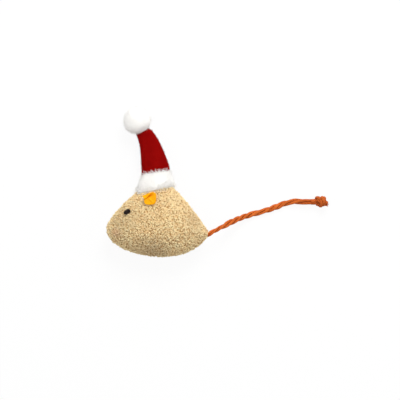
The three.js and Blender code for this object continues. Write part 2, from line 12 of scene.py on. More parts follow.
import bmesh
import bpy
import numpy as np
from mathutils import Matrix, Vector


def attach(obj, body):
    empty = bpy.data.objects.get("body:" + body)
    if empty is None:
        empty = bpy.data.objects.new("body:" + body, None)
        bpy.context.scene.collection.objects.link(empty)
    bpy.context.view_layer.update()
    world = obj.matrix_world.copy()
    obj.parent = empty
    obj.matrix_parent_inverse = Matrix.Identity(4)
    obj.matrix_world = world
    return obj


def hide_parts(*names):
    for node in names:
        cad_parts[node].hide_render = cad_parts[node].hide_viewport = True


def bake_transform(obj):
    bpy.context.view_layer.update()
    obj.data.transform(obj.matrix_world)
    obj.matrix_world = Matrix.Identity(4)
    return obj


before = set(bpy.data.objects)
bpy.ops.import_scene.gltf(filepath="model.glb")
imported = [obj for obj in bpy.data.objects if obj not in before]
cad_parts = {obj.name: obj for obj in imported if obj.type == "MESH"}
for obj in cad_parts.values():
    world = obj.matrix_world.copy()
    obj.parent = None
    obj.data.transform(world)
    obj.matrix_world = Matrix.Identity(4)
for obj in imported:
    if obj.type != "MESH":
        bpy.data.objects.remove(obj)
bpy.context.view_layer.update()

MM = 0.001
LOG = logging.getLogger("catnip_mouse")
Points = np.ndarray
Colour = tuple[float, float, float, float]
Place = tuple[float, float, float]
Spot = tuple[float, float]
Piece = bpy.types.Object
Mesh = bpy.types.Mesh
Material = bpy.types.Material
Tree = bpy.types.NodeTree
Node = bpy.types.Node
Socket = bpy.types.NodeSocket
Pattern = tuple[Socket, Socket, Socket]
WHITE: Colour = (1.0, 1.0, 1.0, 1.0)


class Flank(Enum):
    """The two sides of the mouse; the value is the way the side faces along Z."""

    LEFT = 1.0
    RIGHT = -1.0


def tone(red: int, green: int, blue: int) -> Colour:
    """Turns a colour as a screen shows it into Blender's linear colour.

    Args:
        red: Red share, 0 to 255.
        green: Green share, 0 to 255.
        blue: Blue share, 0 to 255.

    Returns:
        The linear colour with full alpha.
    """
    def linear(value: int) -> float:
        """Undoes the screen curve of one share."""
        share = value / 255
        return share / 12.92 if share <= 0.04045 else ((share + 0.055) / 1.055) ** 2.4

    return linear(red), linear(green), linear(blue), 1.0


def unit(vector: Points) -> Points:
    """Scales a vector to a length of one."""
    return vector / np.linalg.norm(vector)


def heading(degrees: float) -> Points:
    """Gives the direction at an angle from +X in the XY plane."""
    return np.array([math.cos(math.radians(degrees)), math.sin(math.radians(degrees))])


def bent_line(start: Points, first: Points, second: Points, end: Points, count: int) -> Points:
    """Samples a cubic curve from its two ends and two handles.

    Args:
        start: First end.
        first: Handle of the first end.
        second: Handle of the last end.
        end: Last end.
        count: Number of points.

    Returns:
        The points along the curve.
    """
    t = np.linspace(0, 1, count)[:, None]
    left = 1 - t
    return (left ** 3 * np.asarray(start) + 3 * left ** 2 * t * np.asarray(first)
            + 3 * left * t ** 2 * np.asarray(second) + t ** 3 * np.asarray(end))


def run_lengths(line: Points) -> Points:
    """Gives the length along a line at each of its points."""
    return np.concatenate([[0.0], np.cumsum(np.linalg.norm(np.diff(line, axis=0), axis=1))])


def at_lengths(line: Points, lengths: Points) -> Points:
    """Gives the points of a line at given lengths along it."""
    along = run_lengths(line)
    return np.stack([np.interp(lengths, along, axis) for axis in line.T], axis=1)


def even_steps(line: Points, step: float) -> Points:
    """Gives the line again with points an even step apart."""
    whole = run_lengths(line)[-1]
    return at_lengths(line, np.linspace(0, whole, max(2, round(whole / step) + 1)))


def passage(t: Points, start: float, end: float, first: Points, second: Points) -> Points:
    """Passes straight from the first point, where t is at start, to the second at end."""
    return (end - t) / (end - start) * first + (t - start) / (end - start) * second


def smooth_route(marks: Points, per_span: int = 16) -> Points:
    """Draws one smooth curve through given marks.

    Args:
        marks: The marks, in order.
        per_span: Points between two marks.

    Returns:
        The points of the curve.
    """
    marks = np.asarray(marks, float)
    full = np.vstack([2 * marks[0] - marks[1], marks, 2 * marks[-1] - marks[-2]])
    out = []
    for i in range(1, len(full) - 2):
        a, b, c, d = full[i - 1:i + 3]
        gaps = [math.sqrt(np.linalg.norm(far - near)) for near, far in ((a, b), (b, c), (c, d))]
        t0, t1, t2, t3 = np.cumsum([0.0, *gaps])
        t = np.linspace(t1, t2, per_span, endpoint=False)[:, None]
        ab, bc, cd = passage(t, t0, t1, a, b), passage(t, t1, t2, b, c), passage(t, t2, t3, c, d)
        abc, bcd = passage(t, t0, t2, ab, bc), passage(t, t1, t3, bc, cd)
        out.append(passage(t, t1, t2, abc, bcd))
    return np.vstack([*out, marks[-1:]])


def carried_frame(path: Points) -> tuple[Points, Points]:
    """Carries a cross direction along a path without letting it spin.

    Args:
        path: Points of the path.

    Returns:
        Two directions across the path at each point.
    """
    tangent = np.gradient(path, axis=0)
    tangent /= np.linalg.norm(tangent, axis=1)[:, None]
    first = np.zeros_like(path)
    guess = np.array([0.0, 0.0, 1.0])
    for i, along in enumerate(tangent):
        guess = unit(guess - guess.dot(along) * along)
        first[i] = guess
    return first, np.cross(tangent, first)


def share_of(part: float, whole: float) -> float:
    """Gives the share of a part in a whole, held between 0 and 1."""
    return min(max(part / whole, 0), 1)


def full_turn(sides: int) -> Points:
    """Gives even angles once round, the first one at zero."""
    return np.linspace(0, 2 * math.pi, sides, endpoint=False)


def spread_over(value: float | Points, count: int) -> Points:
    """Gives one value for each of a number of points."""
    return np.broadcast_to(np.asarray(value, float), (count,))


def tube_rings(path: Points, radius: float | Points, sides: int) -> Points:
    """Sets a ring of points round each point of a path.

    Args:
        path: Points of the path.
        radius: One radius, or one for each point.
        sides: Points in a ring.

    Returns:
        The rings, one row for each point of the path.
    """
    first, second = carried_frame(path)
    turn = full_turn(sides)[None, :, None]
    spoke = np.cos(turn) * first[:, None] + np.sin(turn) * second[:, None]
    return path[:, None] + spread_over(radius, len(path))[:, None, None] * spoke


class Shape:
    """Points and faces of a mesh in the making, in millimetres."""

    def __init__(self) -> None:
        """Starts empty."""
        self.points: list[Points] = []
        self.faces: list[tuple[int, ...]] = []
        self.corners: list[Spot] = []
        self.shades: list[Points] = []
        self.count = 0

    def loft(self, rings: Points, shade: Points | None = None) -> "Shape":
        """Adds a closed skin over rings, with a flat at each end.

        Args:
            rings: Rows of points, each row one closed ring.
            shade: How much painted shade each point takes, in grooves and creases, 0 to 1.

        Returns:
            This shape.
        """
        rows, sides = rings.shape[:2]
        along = run_lengths(rings.mean(axis=1))
        start = self.count
        for i in range(rows - 1):
            for j in range(sides):
                k = (j + 1) % sides
                low, high = start + i * sides, start + (i + 1) * sides
                self.faces.append((low + j, low + k, high + k, high + j))
                self.corners += [(along[i], j / sides), (along[i], (j + 1) / sides),
                                 (along[i + 1], (j + 1) / sides), (along[i + 1], j / sides)]
        for row in (0, rows - 1):
            self.faces.append(tuple(start + row * sides + j for j in range(sides)))
            self.corners += [(along[row], j / sides) for j in range(sides)]
        self.points.append(rings.reshape(-1, 3))
        self.shades.append(np.zeros(rows * sides) if shade is None else shade.ravel())
        self.count += rows * sides
        return self

    def to_object(self, name: str, material: Material) -> Piece:
        """Makes the mesh object, in metres, with its faces turned outwards.

        Args:
            name: Name of the piece.
            material: Its finish.

        Returns:
            The new object.
        """
        mesh = bpy.data.meshes.new(name)
        mesh.from_pydata((np.vstack(self.points) * MM).tolist(), [], self.faces)
        layer = mesh.uv_layers.new(name="lay")
        layer.data.foreach_set("uv", np.array(self.corners, float).ravel())
        painted_shade = mesh.attributes.new("shade", "FLOAT", "POINT")
        painted_shade.data.foreach_set("value", np.concatenate(self.shades).astype(np.float32))
        return link_mesh(name, mesh, material)


def put_in_scene(name: str, data: bpy.types.ID) -> Piece:
    """Makes an object of a mesh, a camera or a lamp and puts it in the scene.

    Args:
        name: Name of the object.
        data: What it holds.

    Returns:
        The new object.
    """
    made = bpy.data.objects.new(name, data)
    bpy.context.scene.collection.objects.link(made)
    return made


def smooth_mesh(mesh: Mesh) -> None:
    """Shades every face of a mesh smooth."""
    mesh.polygons.foreach_set("use_smooth", [True] * len(mesh.polygons))


def dress_mesh(mesh: Mesh, material: Material) -> None:
    """Gives a mesh one finish in place of any other."""
    mesh.materials.clear()
    mesh.materials.append(material)


def link_mesh(name: str, mesh: Mesh, material: Material) -> Piece:
    """Turns a mesh outwards, smooths it and puts it in the scene.

    Args:
        name: Name of the piece.
        mesh: Its mesh, in metres.
        material: Its finish.

    Returns:
        The new object.
    """
    work = bmesh.new()
    work.from_mesh(mesh)
    bmesh.ops.recalc_face_normals(work, faces=work.faces)
    work.to_mesh(mesh)
    work.free()
    smooth_mesh(mesh)
    dress_mesh(mesh, material)
    return put_in_scene(name, mesh)


def read_points(mesh: Mesh) -> Points:
    """Reads the points of a mesh.

    Args:
        mesh: The mesh.

    Returns:
        Its points, in metres.
    """
    flat = np.zeros(len(mesh.vertices) * 3, np.float32)
    mesh.vertices.foreach_get("co", flat)
    return flat.reshape(-1, 3).astype(float)


def write_points(mesh: Mesh, points: Points) -> None:
    """Writes the points of a mesh."""
    mesh.vertices.foreach_set("co", points.astype(np.float32).ravel())
    mesh.update()


def keep_above(mesh: Mesh, height: float) -> None:
    """Lifts the points of a mesh that lie too near the floor.

    Args:
        mesh: The mesh.
        height: Least height over the floor, in millimetres.
    """
    points = read_points(mesh)
    points[:, 2] = np.maximum(points[:, 2], height * MM)
    write_points(mesh, points)


def baked(piece: Piece) -> Mesh:
    """Gives the mesh of a piece with its modifiers applied, as a new mesh."""
    graph = bpy.context.evaluated_depsgraph_get()
    return bpy.data.meshes.new_from_object(
        piece.evaluated_get(graph), preserve_all_data_layers=True, depsgraph=graph)


def settle(piece: Piece) -> Mesh:
    """Applies the modifiers of a piece.

    Args:
        piece: The piece, which keeps none of them.

    Returns:
        Its new mesh.
    """
    mesh = baked(piece)
    piece.modifiers.clear()
    piece.data = mesh
    return mesh


def hand_in(piece: Piece, slot: str, *nodes: str) -> None:
    """Hides the solids that a piece stands for and logs its face count.

    Args:
        piece: The finished piece, which already moves with its body.
        slot: Material slot of the piece; not used.
        *nodes: Solids that it stands for, if any.
    """
    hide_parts(*nodes)
    LOG.info("%s: %d faces", piece.name, len(piece.data.polygons))


class Bench:
    """Places and joins the nodes of one tree."""

    def __init__(self, tree: Tree) -> None:
        """Takes the tree to work on."""
        self.tree = tree

    def take(self, name: str, kind: str, default: object = None) -> None:
        """Adds a named input to the tree.

        Args:
            name: Name of the input.
            kind: Type of its socket.
            default: Its value where none is given.
        """
        socket = self.tree.interface.new_socket(name=name, in_out="INPUT", socket_type=kind)
        if default is not None:
            socket.default_value = default

    def give(self, name: str, kind: str) -> None:
        """Adds a named output to the tree."""
        self.tree.interface.new_socket(name=name, in_out="OUTPUT", socket_type=kind)

    def feed(self, node: Node, inputs: dict) -> None:
        """Sets or joins the inputs of a node.

        Args:
            node: The node.
            inputs: Value or output socket for each input, by name or number.
        """
        for name, value in inputs.items():
            if isinstance(name, int):
                socket = node.inputs[name]
            else:
                socket = next(s for s in node.inputs if s.name == name and s.enabled)
            if isinstance(value, Socket):
                self.tree.links.new(value, socket)
            else:
                socket.default_value = value

    def put(self, kind: str, inputs: dict | None = None, **settings: object) -> Node:
        """Places a node, sets it up and feeds its inputs.

        Args:
            kind: Type of the node.
            inputs: Value or output socket for each input, by name or number.
            **settings: Properties of the node.

        Returns:
            The new node.
        """
        node = self.tree.nodes.new(kind)
        for name, value in settings.items():
            setattr(node, name, value)
        self.feed(node, inputs or {})
        return node

    def out(self, node: Node) -> Socket:
        """Finds the first output of a node that is in use."""
        return next(s for s in node.outputs if s.enabled)

    def gain(self, kind: str, inputs: dict | None = None, **settings: object) -> Socket:
        """Places a node as put does and gives its first output."""
        return self.out(self.put(kind, inputs, **settings))

    def random(self, low: object, high: object, seed: Socket | int, kind: str = "FLOAT") -> Socket:
        """Adds a random value for each point, of the kind FLOAT, INT or FLOAT_VECTOR."""
        return self.gain("FunctionNodeRandomValue", {"Min": low, "Max": high, "Seed": seed},
                         data_type=kind)

    def sum(self, kind: str, first: object, second: object) -> Socket:
        """Adds a Math node and gives its result."""
        return self.gain("ShaderNodeMath", {0: first, 1: second}, operation=kind)

    def times(self, first: object, second: object) -> Socket:
        """Multiplies two values."""
        return self.sum("MULTIPLY", first, second)

    def weigh(self, first: object, share: float, second: object, rest: float) -> Socket:
        """Adds up two values, each times its weight."""
        return self.sum("ADD", self.times(first, share), self.times(second, rest))

    def mix(self, share: object, first: object, second: object) -> Socket:
        """Mixes two colours; a share of 1 gives the second."""
        return self.gain("ShaderNodeMix", {"Factor": share, "A": first, "B": second},
                         data_type="RGBA")

    def remap(self, value: Socket, ends: dict[str, float], **settings: object) -> Socket:
        """Maps a value from one range to another."""
        return self.gain("ShaderNodeMapRange", {"Value": value, **ends}, **settings)

    def mark(self, name: str) -> Socket:
        """Reads a value that the mesh holds at its points."""
        return self.put("ShaderNodeAttribute", attribute_name=name).outputs["Fac"]

    def noise(self, place: Socket, scale: object, detail: float, **more: float) -> Socket:
        """Adds a noise pattern and gives its value."""
        inputs = {"Vector": place, "Scale": scale, "Detail": detail, **more}
        return self.put("ShaderNodeTexNoise", inputs).outputs["Fac"]


class Pile:
    """Geometry Nodes trees that set curls or fibres on a skin."""

    # Least height over the floor, in millimetres.
    CLEARANCE = 0.15
    # Least and most rise of a strand as a share of the lift, and its least and most size.
    LIFTS = (-0.5, 1.0)
    SCALES = (0.75, 1.2)
    # What the seeds of the tint and of the size add to the seed of the pile.
    TINT_SEED = 9.0
    SIZE_SEED = 5.0
    # Turns, inner radius and height of each coil; the last two are shares of the curl radius.
    COILS = ((0.55, 1.0, 0.3), (0.8, 0.7, 0.6), (1.05, 0.5, 0.9))
    # Lean and height of a fibre's middle handle and of its tip, as shares of its length.
    BENDS = ((0.12, 0.55), (0.5, 0.9))
    # Share of its thickness that a fibre loses toward its tip.
    TAPER = 0.8

    def __init__(self) -> None:
        """Builds both trees once."""
        self.curls = self.curl_tree()
        self.fibres = self.fibre_tree()

    def start(self, name: str, sizes: dict[str, float]) -> tuple[Bench, Node]:
        """Starts a tree with the inputs that both kinds of pile have.

        Args:
            name: Name of the tree.
            sizes: Name and default of each size, in metres or plain shares.

        Returns:
            The bench of the tree and its input node.
        """
        bench = Bench(bpy.data.node_groups.new(name, "GeometryNodeTree"))
        bench.take("Skin", "NodeSocketGeometry")
        for size, default in sizes.items():
            bench.take(size, "NodeSocketFloat", default)
        bench.take("Seed", "NodeSocketInt", 1)
        bench.take("Finish", "NodeSocketMaterial")
        bench.give("Pile", "NodeSocketGeometry")
        return bench, bench.put("NodeGroupInput")

    def plant(self, bench: Bench, given: Node, strand: Socket, pick: int) -> None:
        """Sets strands on the skin at random, tints them and makes them one mesh.

        Args:
            bench: Bench of the tree.
            given: Its input node.
            strand: Geometry of the strand, or instances to pick from.
            pick: Number of strands to pick from, or 0 for a single one.
        """
        size = given.outputs
        seed = size["Seed"]
        spots = bench.put("GeometryNodeDistributePointsOnFaces",
                          {"Mesh": size["Skin"], "Distance Min": size["Spacing"],
                           "Density Max": size["Density"], "Seed": seed},
                          distribute_method="POISSON").outputs
        shade = bench.sum("ADD", seed, self.TINT_SEED)
        lift = bench.times(bench.random(*self.LIFTS, shade), size["Lift"])
        rise = bench.gain("ShaderNodeVectorMath", {"Vector": spots["Normal"], "Scale": lift},
                          operation="SCALE")
        lifted = bench.gain("GeometryNodeSetPosition",
                            {"Geometry": spots["Points"], "Offset": rise})
        lean = bench.gain("ShaderNodeCombineXYZ", {0: size["Tilt"], 1: size["Tilt"], 2: math.pi})
        back = bench.gain("ShaderNodeVectorMath", {"Vector": lean, "Scale": -1.0},
                          operation="SCALE")
        spin = bench.random(back, lean, seed, "FLOAT_VECTOR")
        turned = bench.gain("FunctionNodeRotateRotation",
                            {"Rotation": spots["Rotation"],
                             "Rotate By": bench.gain("FunctionNodeEulerToRotation",
                                                     {"Euler": spin})},
                            rotation_space="LOCAL")
        scale = bench.random(*self.SCALES, bench.sum("ADD", seed, self.SIZE_SEED))
        inputs = {"Points": lifted, "Instance": strand, "Rotation": turned, "Scale": scale}
        if pick:
            inputs["Pick Instance"] = True
            inputs["Instance Index"] = bench.random(0, pick - 1, seed, "INT")
        pile = bench.gain("GeometryNodeInstanceOnPoints", inputs)
        pile = bench.gain("GeometryNodeStoreNamedAttribute",
                          {"Geometry": pile, "Name": "tint",
                           "Value": bench.random(0.0, 1.0, shade)},
                          data_type="FLOAT", domain="INSTANCE")
        pile = bench.gain("GeometryNodeRealizeInstances", {"Geometry": pile})
        pile = bench.gain("GeometryNodeSetShadeSmooth", {"Geometry": pile})
        pile = bench.gain("GeometryNodeSetMaterial",
                          {"Geometry": pile, "Material": size["Finish"]})
        bench.put("NodeGroupOutput", {"Pile": pile})

    def curl_tree(self) -> Tree:
        """Builds the tree that sets short curls of yarn on a skin.

        Returns:
            The tree.
        """
        bench, given = self.start("curly_pile", {
            "Spacing": 0.00083, "Density": 4e6, "Curl Radius": 0.00048,
            "Strand Radius": 0.00044, "Lift": 0.0005, "Tilt": 0.5})
        radius = given.outputs["Curl Radius"]
        profile = bench.gain("GeometryNodeCurvePrimitiveCircle",
                             {"Resolution": 4, "Radius": given.outputs["Strand Radius"]})
        join = bench.put("GeometryNodeJoinGeometry")
        for turns, open_share, rise in self.COILS:
            height = bench.times(radius, rise)
            inner = bench.times(radius, open_share)
            coil = bench.gain("GeometryNodeCurveSpiral",
                              {"Resolution": 6, "Rotations": turns, "Start Radius": inner,
                               "End Radius": radius, "Height": height})
            yarn = bench.gain("GeometryNodeCurveToMesh", {"Curve": coil, "Profile Curve": profile,
                                                          "Fill Caps": True})
            # Height within the coil, which the finish paints lighter: a painted highlight on the
            # tops of the curls.
            spot = bench.put("ShaderNodeSeparateXYZ",
                             {0: bench.gain("GeometryNodeInputPosition")})
            share = bench.sum("DIVIDE", spot.outputs["Z"], radius)
            marked = bench.gain("GeometryNodeStoreNamedAttribute",
                                {"Geometry": yarn, "Name": "tip", "Value": share},
                                data_type="FLOAT", domain="POINT")
            kept = bench.gain("GeometryNodeGeometryToInstance", {"Geometry": marked})
            bench.tree.links.new(kept, join.inputs[0])
        self.plant(bench, given, bench.out(join), len(self.COILS))
        return bench.tree

    def fibre_tree(self) -> Tree:
        """Builds the tree that sets fine tapering fibres on a skin.

        Returns:
            The tree.
        """
        bench, given = self.start("soft_pile", {
            "Spacing": 0.0004, "Density": 8e6, "Length": 0.002, "Thickness": 0.00009,
            "Lift": 0.0002, "Tilt": 0.8})
        length = given.outputs["Length"]
        middle, end = (bench.gain("ShaderNodeCombineXYZ",
                                  {0: bench.times(length, aside),
                                   2: bench.times(length, up)})
                       for aside, up in self.BENDS)
        line = bench.gain("GeometryNodeCurveQuadraticBezier",
                          {"Resolution": 3, "Start": (0.0, 0.0, 0.0), "Middle": middle,
                           "End": end})
        share = bench.put("GeometryNodeSplineParameter").outputs["Factor"]
        thin = bench.sum("SUBTRACT", 1.0, bench.times(share, self.TAPER))
        tapered = bench.gain("GeometryNodeSetCurveRadius", {"Curve": line, "Radius": thin})
        profile = bench.gain("GeometryNodeCurvePrimitiveCircle",
                             {"Resolution": 3, "Radius": given.outputs["Thickness"]})
        strand = bench.gain("GeometryNodeCurveToMesh",
                            {"Curve": tapered, "Profile Curve": profile, "Fill Caps": True})
        self.plant(bench, given, strand, 0)
        return bench.tree

    def grow(self, tree: Tree, skin: Piece, name: str,
             finish: Material, seed: int, sizes: dict[str, float]) -> Piece:
        """Grows a pile on a skin as a mesh of its own.

        Args:
            tree: One of the two trees.
            skin: Piece that the pile grows on; it stays as it is.
            name: Name of the new piece.
            finish: Its material.
            seed: Seed of the pile.
            sizes: Sizes that differ from the tree's own.

        Returns:
            The new piece.
        """
        modifier = skin.modifiers.new("pile", "NODES")
        modifier.node_group = tree
        values = {**sizes, "Seed": seed, "Finish": finish}
        for item in tree.interface.items_tree:
            if item.in_out == "INPUT" and item.name in values:
                modifier[item.identifier] = values[item.name]
        mesh = baked(skin)
        skin.modifiers.remove(modifier)
        keep_above(mesh, self.CLEARANCE)
        mesh.name = name
        return put_in_scene(name, mesh)


def mottle_group() -> Tree:
    """Builds the shared effect of fibre cloth: fine grain over soft patches.

    Returns:
        The node group, built once.
    """
    made = bpy.data.node_groups.get("fibre_mottle")
    if made:
        return made
    bench = Bench(bpy.data.node_groups.new("fibre_mottle", "ShaderNodeTree"))
    for name, kind, default in (("Place", "NodeSocketVector", None),
                                ("Light", "NodeSocketColor", WHITE),
                                ("Dark", "NodeSocketColor", (0, 0, 0, 1)),
                                ("Grain", "NodeSocketFloat", 900.0),
                                ("Patch", "NodeSocketFloat", 90.0)):
        bench.take(name, kind, default)
    bench.give("Colour", "NodeSocketColor")
    bench.give("Height", "NodeSocketFloat")
    bench.give("Roughness", "NodeSocketFloat")
    given = bench.put("NodeGroupInput").outputs
    grain = bench.noise(given["Place"], given["Grain"], 3.0, Roughness=0.65)
    patch = bench.noise(given["Place"], given["Patch"], 2.0)
    spread = bench.remap(bench.weigh(grain, 0.65, patch, 0.35),
                         {"From Min": 0.36, "From Max": 0.64})
    bench.put("NodeGroupOutput", {
        "Colour": bench.mix(spread, given["Dark"], given["Light"]), "Height": grain,
        "Roughness": bench.remap(spread, {"To Min": 1.0, "To Max": 0.85})})
    return bench.tree


@dataclass(frozen=True)
class ShadeOrTint:
    """A soft round patch of colour on a cloth, at a place in millimetres; some are painted shade,
    some the cloth's own tint.
    """

    place: Place
    radius: float
    colour: Colour
    strength: float


@dataclass(frozen=True)
class Finish:
    """A soft finish of two tones, whose material is built once."""

    name: str
    light: Colour
    dark: Colour
    _: KW_ONLY
    sheen: float = 0.25
    sheen_spread: float = 0.6
    relief_mm: float = 0.12
    bump: float = 0.8
    gloss: float = 0.15

    def paint(self, bench: Bench) -> Pattern:
        """Lays the pattern of the finish; each kind of finish has its own."""
        raise NotImplementedError(self.name)

    def material(self) -> Material:
        """Builds the material, or finds it if it is built.

        Returns:
            The material.
        """
        made = bpy.data.materials.get(self.name)
        if made:
            return made
        material = bpy.data.materials.new(self.name)
        material.use_nodes = True
        bench = Bench(material.node_tree)
        colour, rough, height = self.paint(bench)
        bump = bench.gain("ShaderNodeBump", {"Height": height, "Strength": self.bump,
                                             "Distance": self.relief_mm * MM})
        bench.feed(bench.tree.nodes["Principled BSDF"],
                   {"Base Color": colour, "Roughness": rough, "Normal": bump,
                    "Sheen Weight": self.sheen, "Sheen Roughness": self.sheen_spread,
                    "Specular IOR Level": self.gloss})
        return material


@dataclass(frozen=True)
class FibreFinish(Finish):
    """A felt, fleece, plush or thread finish with a fibre grain."""

    grain_mm: float = 0.9
    patch_mm: float = 11.0
    # Tone of the painted shade, laid where the mesh's shade value is set.
    shade_tone: Colour | None = None
    tinted: bool = False
    tint_share: float = 0.6
    tip_highlight: float = 0.0
    shades_and_tints: tuple[ShadeOrTint, ...] = ()

    def paint(self, bench: Bench) -> Pattern:
        """Lays the grain, the strand tints with painted tip highlights, the round patches of
        painted shade and tint, and painted crease shade.

        Args:
            bench: Bench of the material.

        Returns:
            The outputs with the colour, the roughness and the height.
        """
        place = bench.put("ShaderNodeTexCoord").outputs["Object"]
        mottle = bench.put("ShaderNodeGroup", node_tree=mottle_group())
        bench.feed(mottle, {"Place": place, "Light": self.light, "Dark": self.dark,
                            "Grain": 1 / (self.grain_mm * MM), "Patch": 1 / (self.patch_mm * MM)})
        colour = mottle.outputs["Colour"]
        if self.tinted:
            # Each strand's random tint, and a painted highlight that lightens the higher parts of
            # each curl.
            share = bench.weigh(bench.mark("tint"), 1 - self.tip_highlight, bench.mark("tip"), self.tip_highlight)
            colour = bench.mix(self.tint_share, colour, bench.mix(share, self.dark, self.light))
        # Round patches: painted shade darkening the head, the rump and the belly's underside, and
        # the nose's own pink tint.
        for shade_or_tint in self.shades_and_tints:
            far = bench.put("ShaderNodeVectorMath",
                            {0: place, 1: Vector(shade_or_tint.place) * MM}, operation="DISTANCE")
            near = bench.remap(far.outputs["Value"],
                               {"From Max": shade_or_tint.radius * MM, "To Min": shade_or_tint.strength,
                                "To Max": 0.0}, interpolation_type="SMOOTHSTEP")
            colour = bench.mix(near, colour, shade_or_tint.colour)
        # Painted shade in grooves and creases, as the mesh's shade value lays it.
        if self.shade_tone:
            colour = bench.mix(bench.mark("shade"), colour, self.shade_tone)
        return colour, mottle.outputs["Roughness"], mottle.outputs["Height"]


@dataclass(frozen=True)
class SpunFinish(Finish):
    """A spun yarn: fine fibres that run round the strand at a slant."""

    # Tone of the painted shade, laid where the mesh's shade value is set.
    shade_tone: Colour
    fibres: float = 9.0
    turns_per_mm: float = 0.9
    wave: float = 0.14
    fuzz: float = 0.6
    patch: float = 0.4
    fuzz_scale: float = 900.0
    patch_scale: float = 160.0

    def paint(self, bench: Bench) -> Pattern:
        """Lays slanting fibres with fuzz and patches over them, and painted shade where the mesh
        sets it.

        Args:
            bench: Bench of the material.

        Returns:
            The outputs with the colour, the roughness and the height.
        """
        lay = bench.put("ShaderNodeUVMap", uv_map="lay").outputs["UV"]
        split = bench.put("ShaderNodeSeparateXYZ", {"Vector": lay}).outputs
        slant = bench.weigh(split["Y"], self.fibres, split["X"], self.turns_per_mm)
        wave = bench.sum("SINE", bench.times(slant, 2 * math.pi), 0.0)
        place = bench.put("ShaderNodeTexCoord").outputs["Object"]
        fuzz = bench.noise(place, self.fuzz_scale, 4.0, Roughness=0.7)
        patch = bench.noise(place, self.patch_scale, 1.0)
        height = bench.sum("ADD", bench.times(wave, self.wave),
                           bench.weigh(fuzz, self.fuzz, patch, self.patch))
        spread = bench.remap(height, {"From Min": 0.25, "From Max": 0.75})
        colour = bench.mix(spread, self.dark, self.light)
        # Painted shade, where the mesh's shade value is set.
        colour = bench.mix(bench.mark("shade"), colour, self.shade_tone)
        return colour, bench.remap(spread, {"To Min": 0.9, "To Max": 0.65}), height


# Painted shade darkens the head, the rump and the underside of the belly; the last patch is the
# nose's own pink tint.
SHADES_AND_NOSE_TINT = (ShadeOrTint((-29.0, 2.0, 32.0), 21.0, tone(190, 168, 126), 0.45),
           ShadeOrTint((31.0, 3.0, 28.0), 17.0, tone(200, 174, 132), 0.5),
           ShadeOrTint((-4.0, -22.0, 26.0), 21.0, tone(172, 136, 92), 0.5),
           ShadeOrTint((-33.2, -7.0, 30.0), 8.0, tone(226, 164, 128), 0.5))
FLEECE_SKIN = FibreFinish("fleece_backing", tone(196, 154, 98), tone(160, 118, 66), 1.1,
                          sheen=0.1, shades_and_tints=SHADES_AND_NOSE_TINT)
# The curls take a painted highlight on their tops.
FLEECE_CURL = FibreFinish("fleece_curls", tone(255, 240, 192), tone(230, 188, 128), 1.4, 14.0,
                          sheen=0.2, tinted=True, tip_highlight=0.2, shades_and_tints=SHADES_AND_NOSE_TINT)
WHITE_PLUSH = FibreFinish("plush_backing", tone(253, 252, 249), tone(243, 241, 237), 0.7, 8.0)
WHITE_PILE = FibreFinish("plush_pile", tone(255, 255, 253), tone(249, 247, 243), 1.2, 9.0,
                         sheen=1.0, tinted=True)
RED_FELT = FibreFinish("cap_felt", tone(155, 10, 8), tone(126, 5, 5), 0.6, 7.0, sheen=0.0,
                       gloss=0.02)
RED_FUZZ = FibreFinish("cap_fuzz", tone(160, 11, 9), tone(124, 5, 5), 0.6, 7.0, sheen=0.0,
                       gloss=0.02, tinted=True)
# Its third tone is painted shade in the crease under the ear's rolled flap.
ORANGE_FELT = FibreFinish("ear_felt", tone(255, 187, 32), tone(247, 160, 12), 0.6, 4.0,
                          sheen=0.0, gloss=0.05, shade_tone=tone(214, 104, 0))
BLACK_THREAD = SpunFinish("eye_yarn", tone(36, 22, 20), tone(14, 8, 7), tone(6, 3, 2),
                          sheen=0.0, relief_mm=0.15, gloss=0.22)
# Its third tone is painted shade in the ply grooves and where the knot's turns touch; it also
# darkens the cord toward and over the knot.
TAIL_CORD = SpunFinish("tail_yarn", tone(228, 120, 50), tone(174, 75, 21), tone(132, 46, 5),
                       sheen=0.0, relief_mm=0.15)
CREAM_THREAD = FibreFinish("cream_thread", tone(226, 204, 164), tone(196, 168, 122), 0.5, 5.0)
DARK_THREAD = FibreFinish("dark_thread", tone(50, 40, 38), tone(22, 15, 12), 0.5, 5.0)
RED_THREAD = FibreFinish("red_thread", tone(160, 16, 14), tone(120, 6, 6), 0.5, 5.0)
RUST_CORD = FibreFinish("rust_cord", tone(216, 104, 46), tone(160, 66, 18), 0.6, 5.0)
FIBRE_FILLING = FibreFinish("filling_fibre", tone(244, 243, 240), tone(222, 220, 214), 1.6, 8.0)
POUCH_CLOTH = FibreFinish("catnip_cloth", tone(214, 206, 178), tone(168, 164, 120), 0.7, 5.0)


@dataclass(frozen=True)
class View:
    """Camera square above the mouse, as the photograph has it."""

    aim: Place = (32.54, 18.37, 18.5)
    distance: float = 1200.0
    across: float = 306.24
    sensor: float = 36.0
    far: float = 20.0

    def place(self) -> None:
        """Puts the camera in the scene."""
        data = bpy.data.cameras.new("camera")
        data.sensor_width = self.sensor
        data.lens = self.sensor * self.distance / self.across
        data.clip_end = self.far
        camera = put_in_scene("camera", data)
        camera.location = Vector(self.aim) * MM + Vector((0, 0, self.distance * MM))
        bpy.context.scene.camera = camera


@dataclass(frozen=True)
class Lamp:
    """A square soft lamp; its place and its side are in metres."""

    name: str
    place: Place
    side: float
    watts: float

    def hang(self, aim: Place) -> None:
        """Hangs the lamp.

        Args:
            aim: What it points at, in metres.
        """
        data = bpy.data.lights.new(self.name, "AREA")
        data.size = self.side
        data.energy = self.watts
        lamp = put_in_scene(self.name, data)
        lamp.location = self.place
        way = Vector(aim) - Vector(self.place)
        lamp.rotation_euler = way.to_track_quat("-Z", "Y").to_euler()


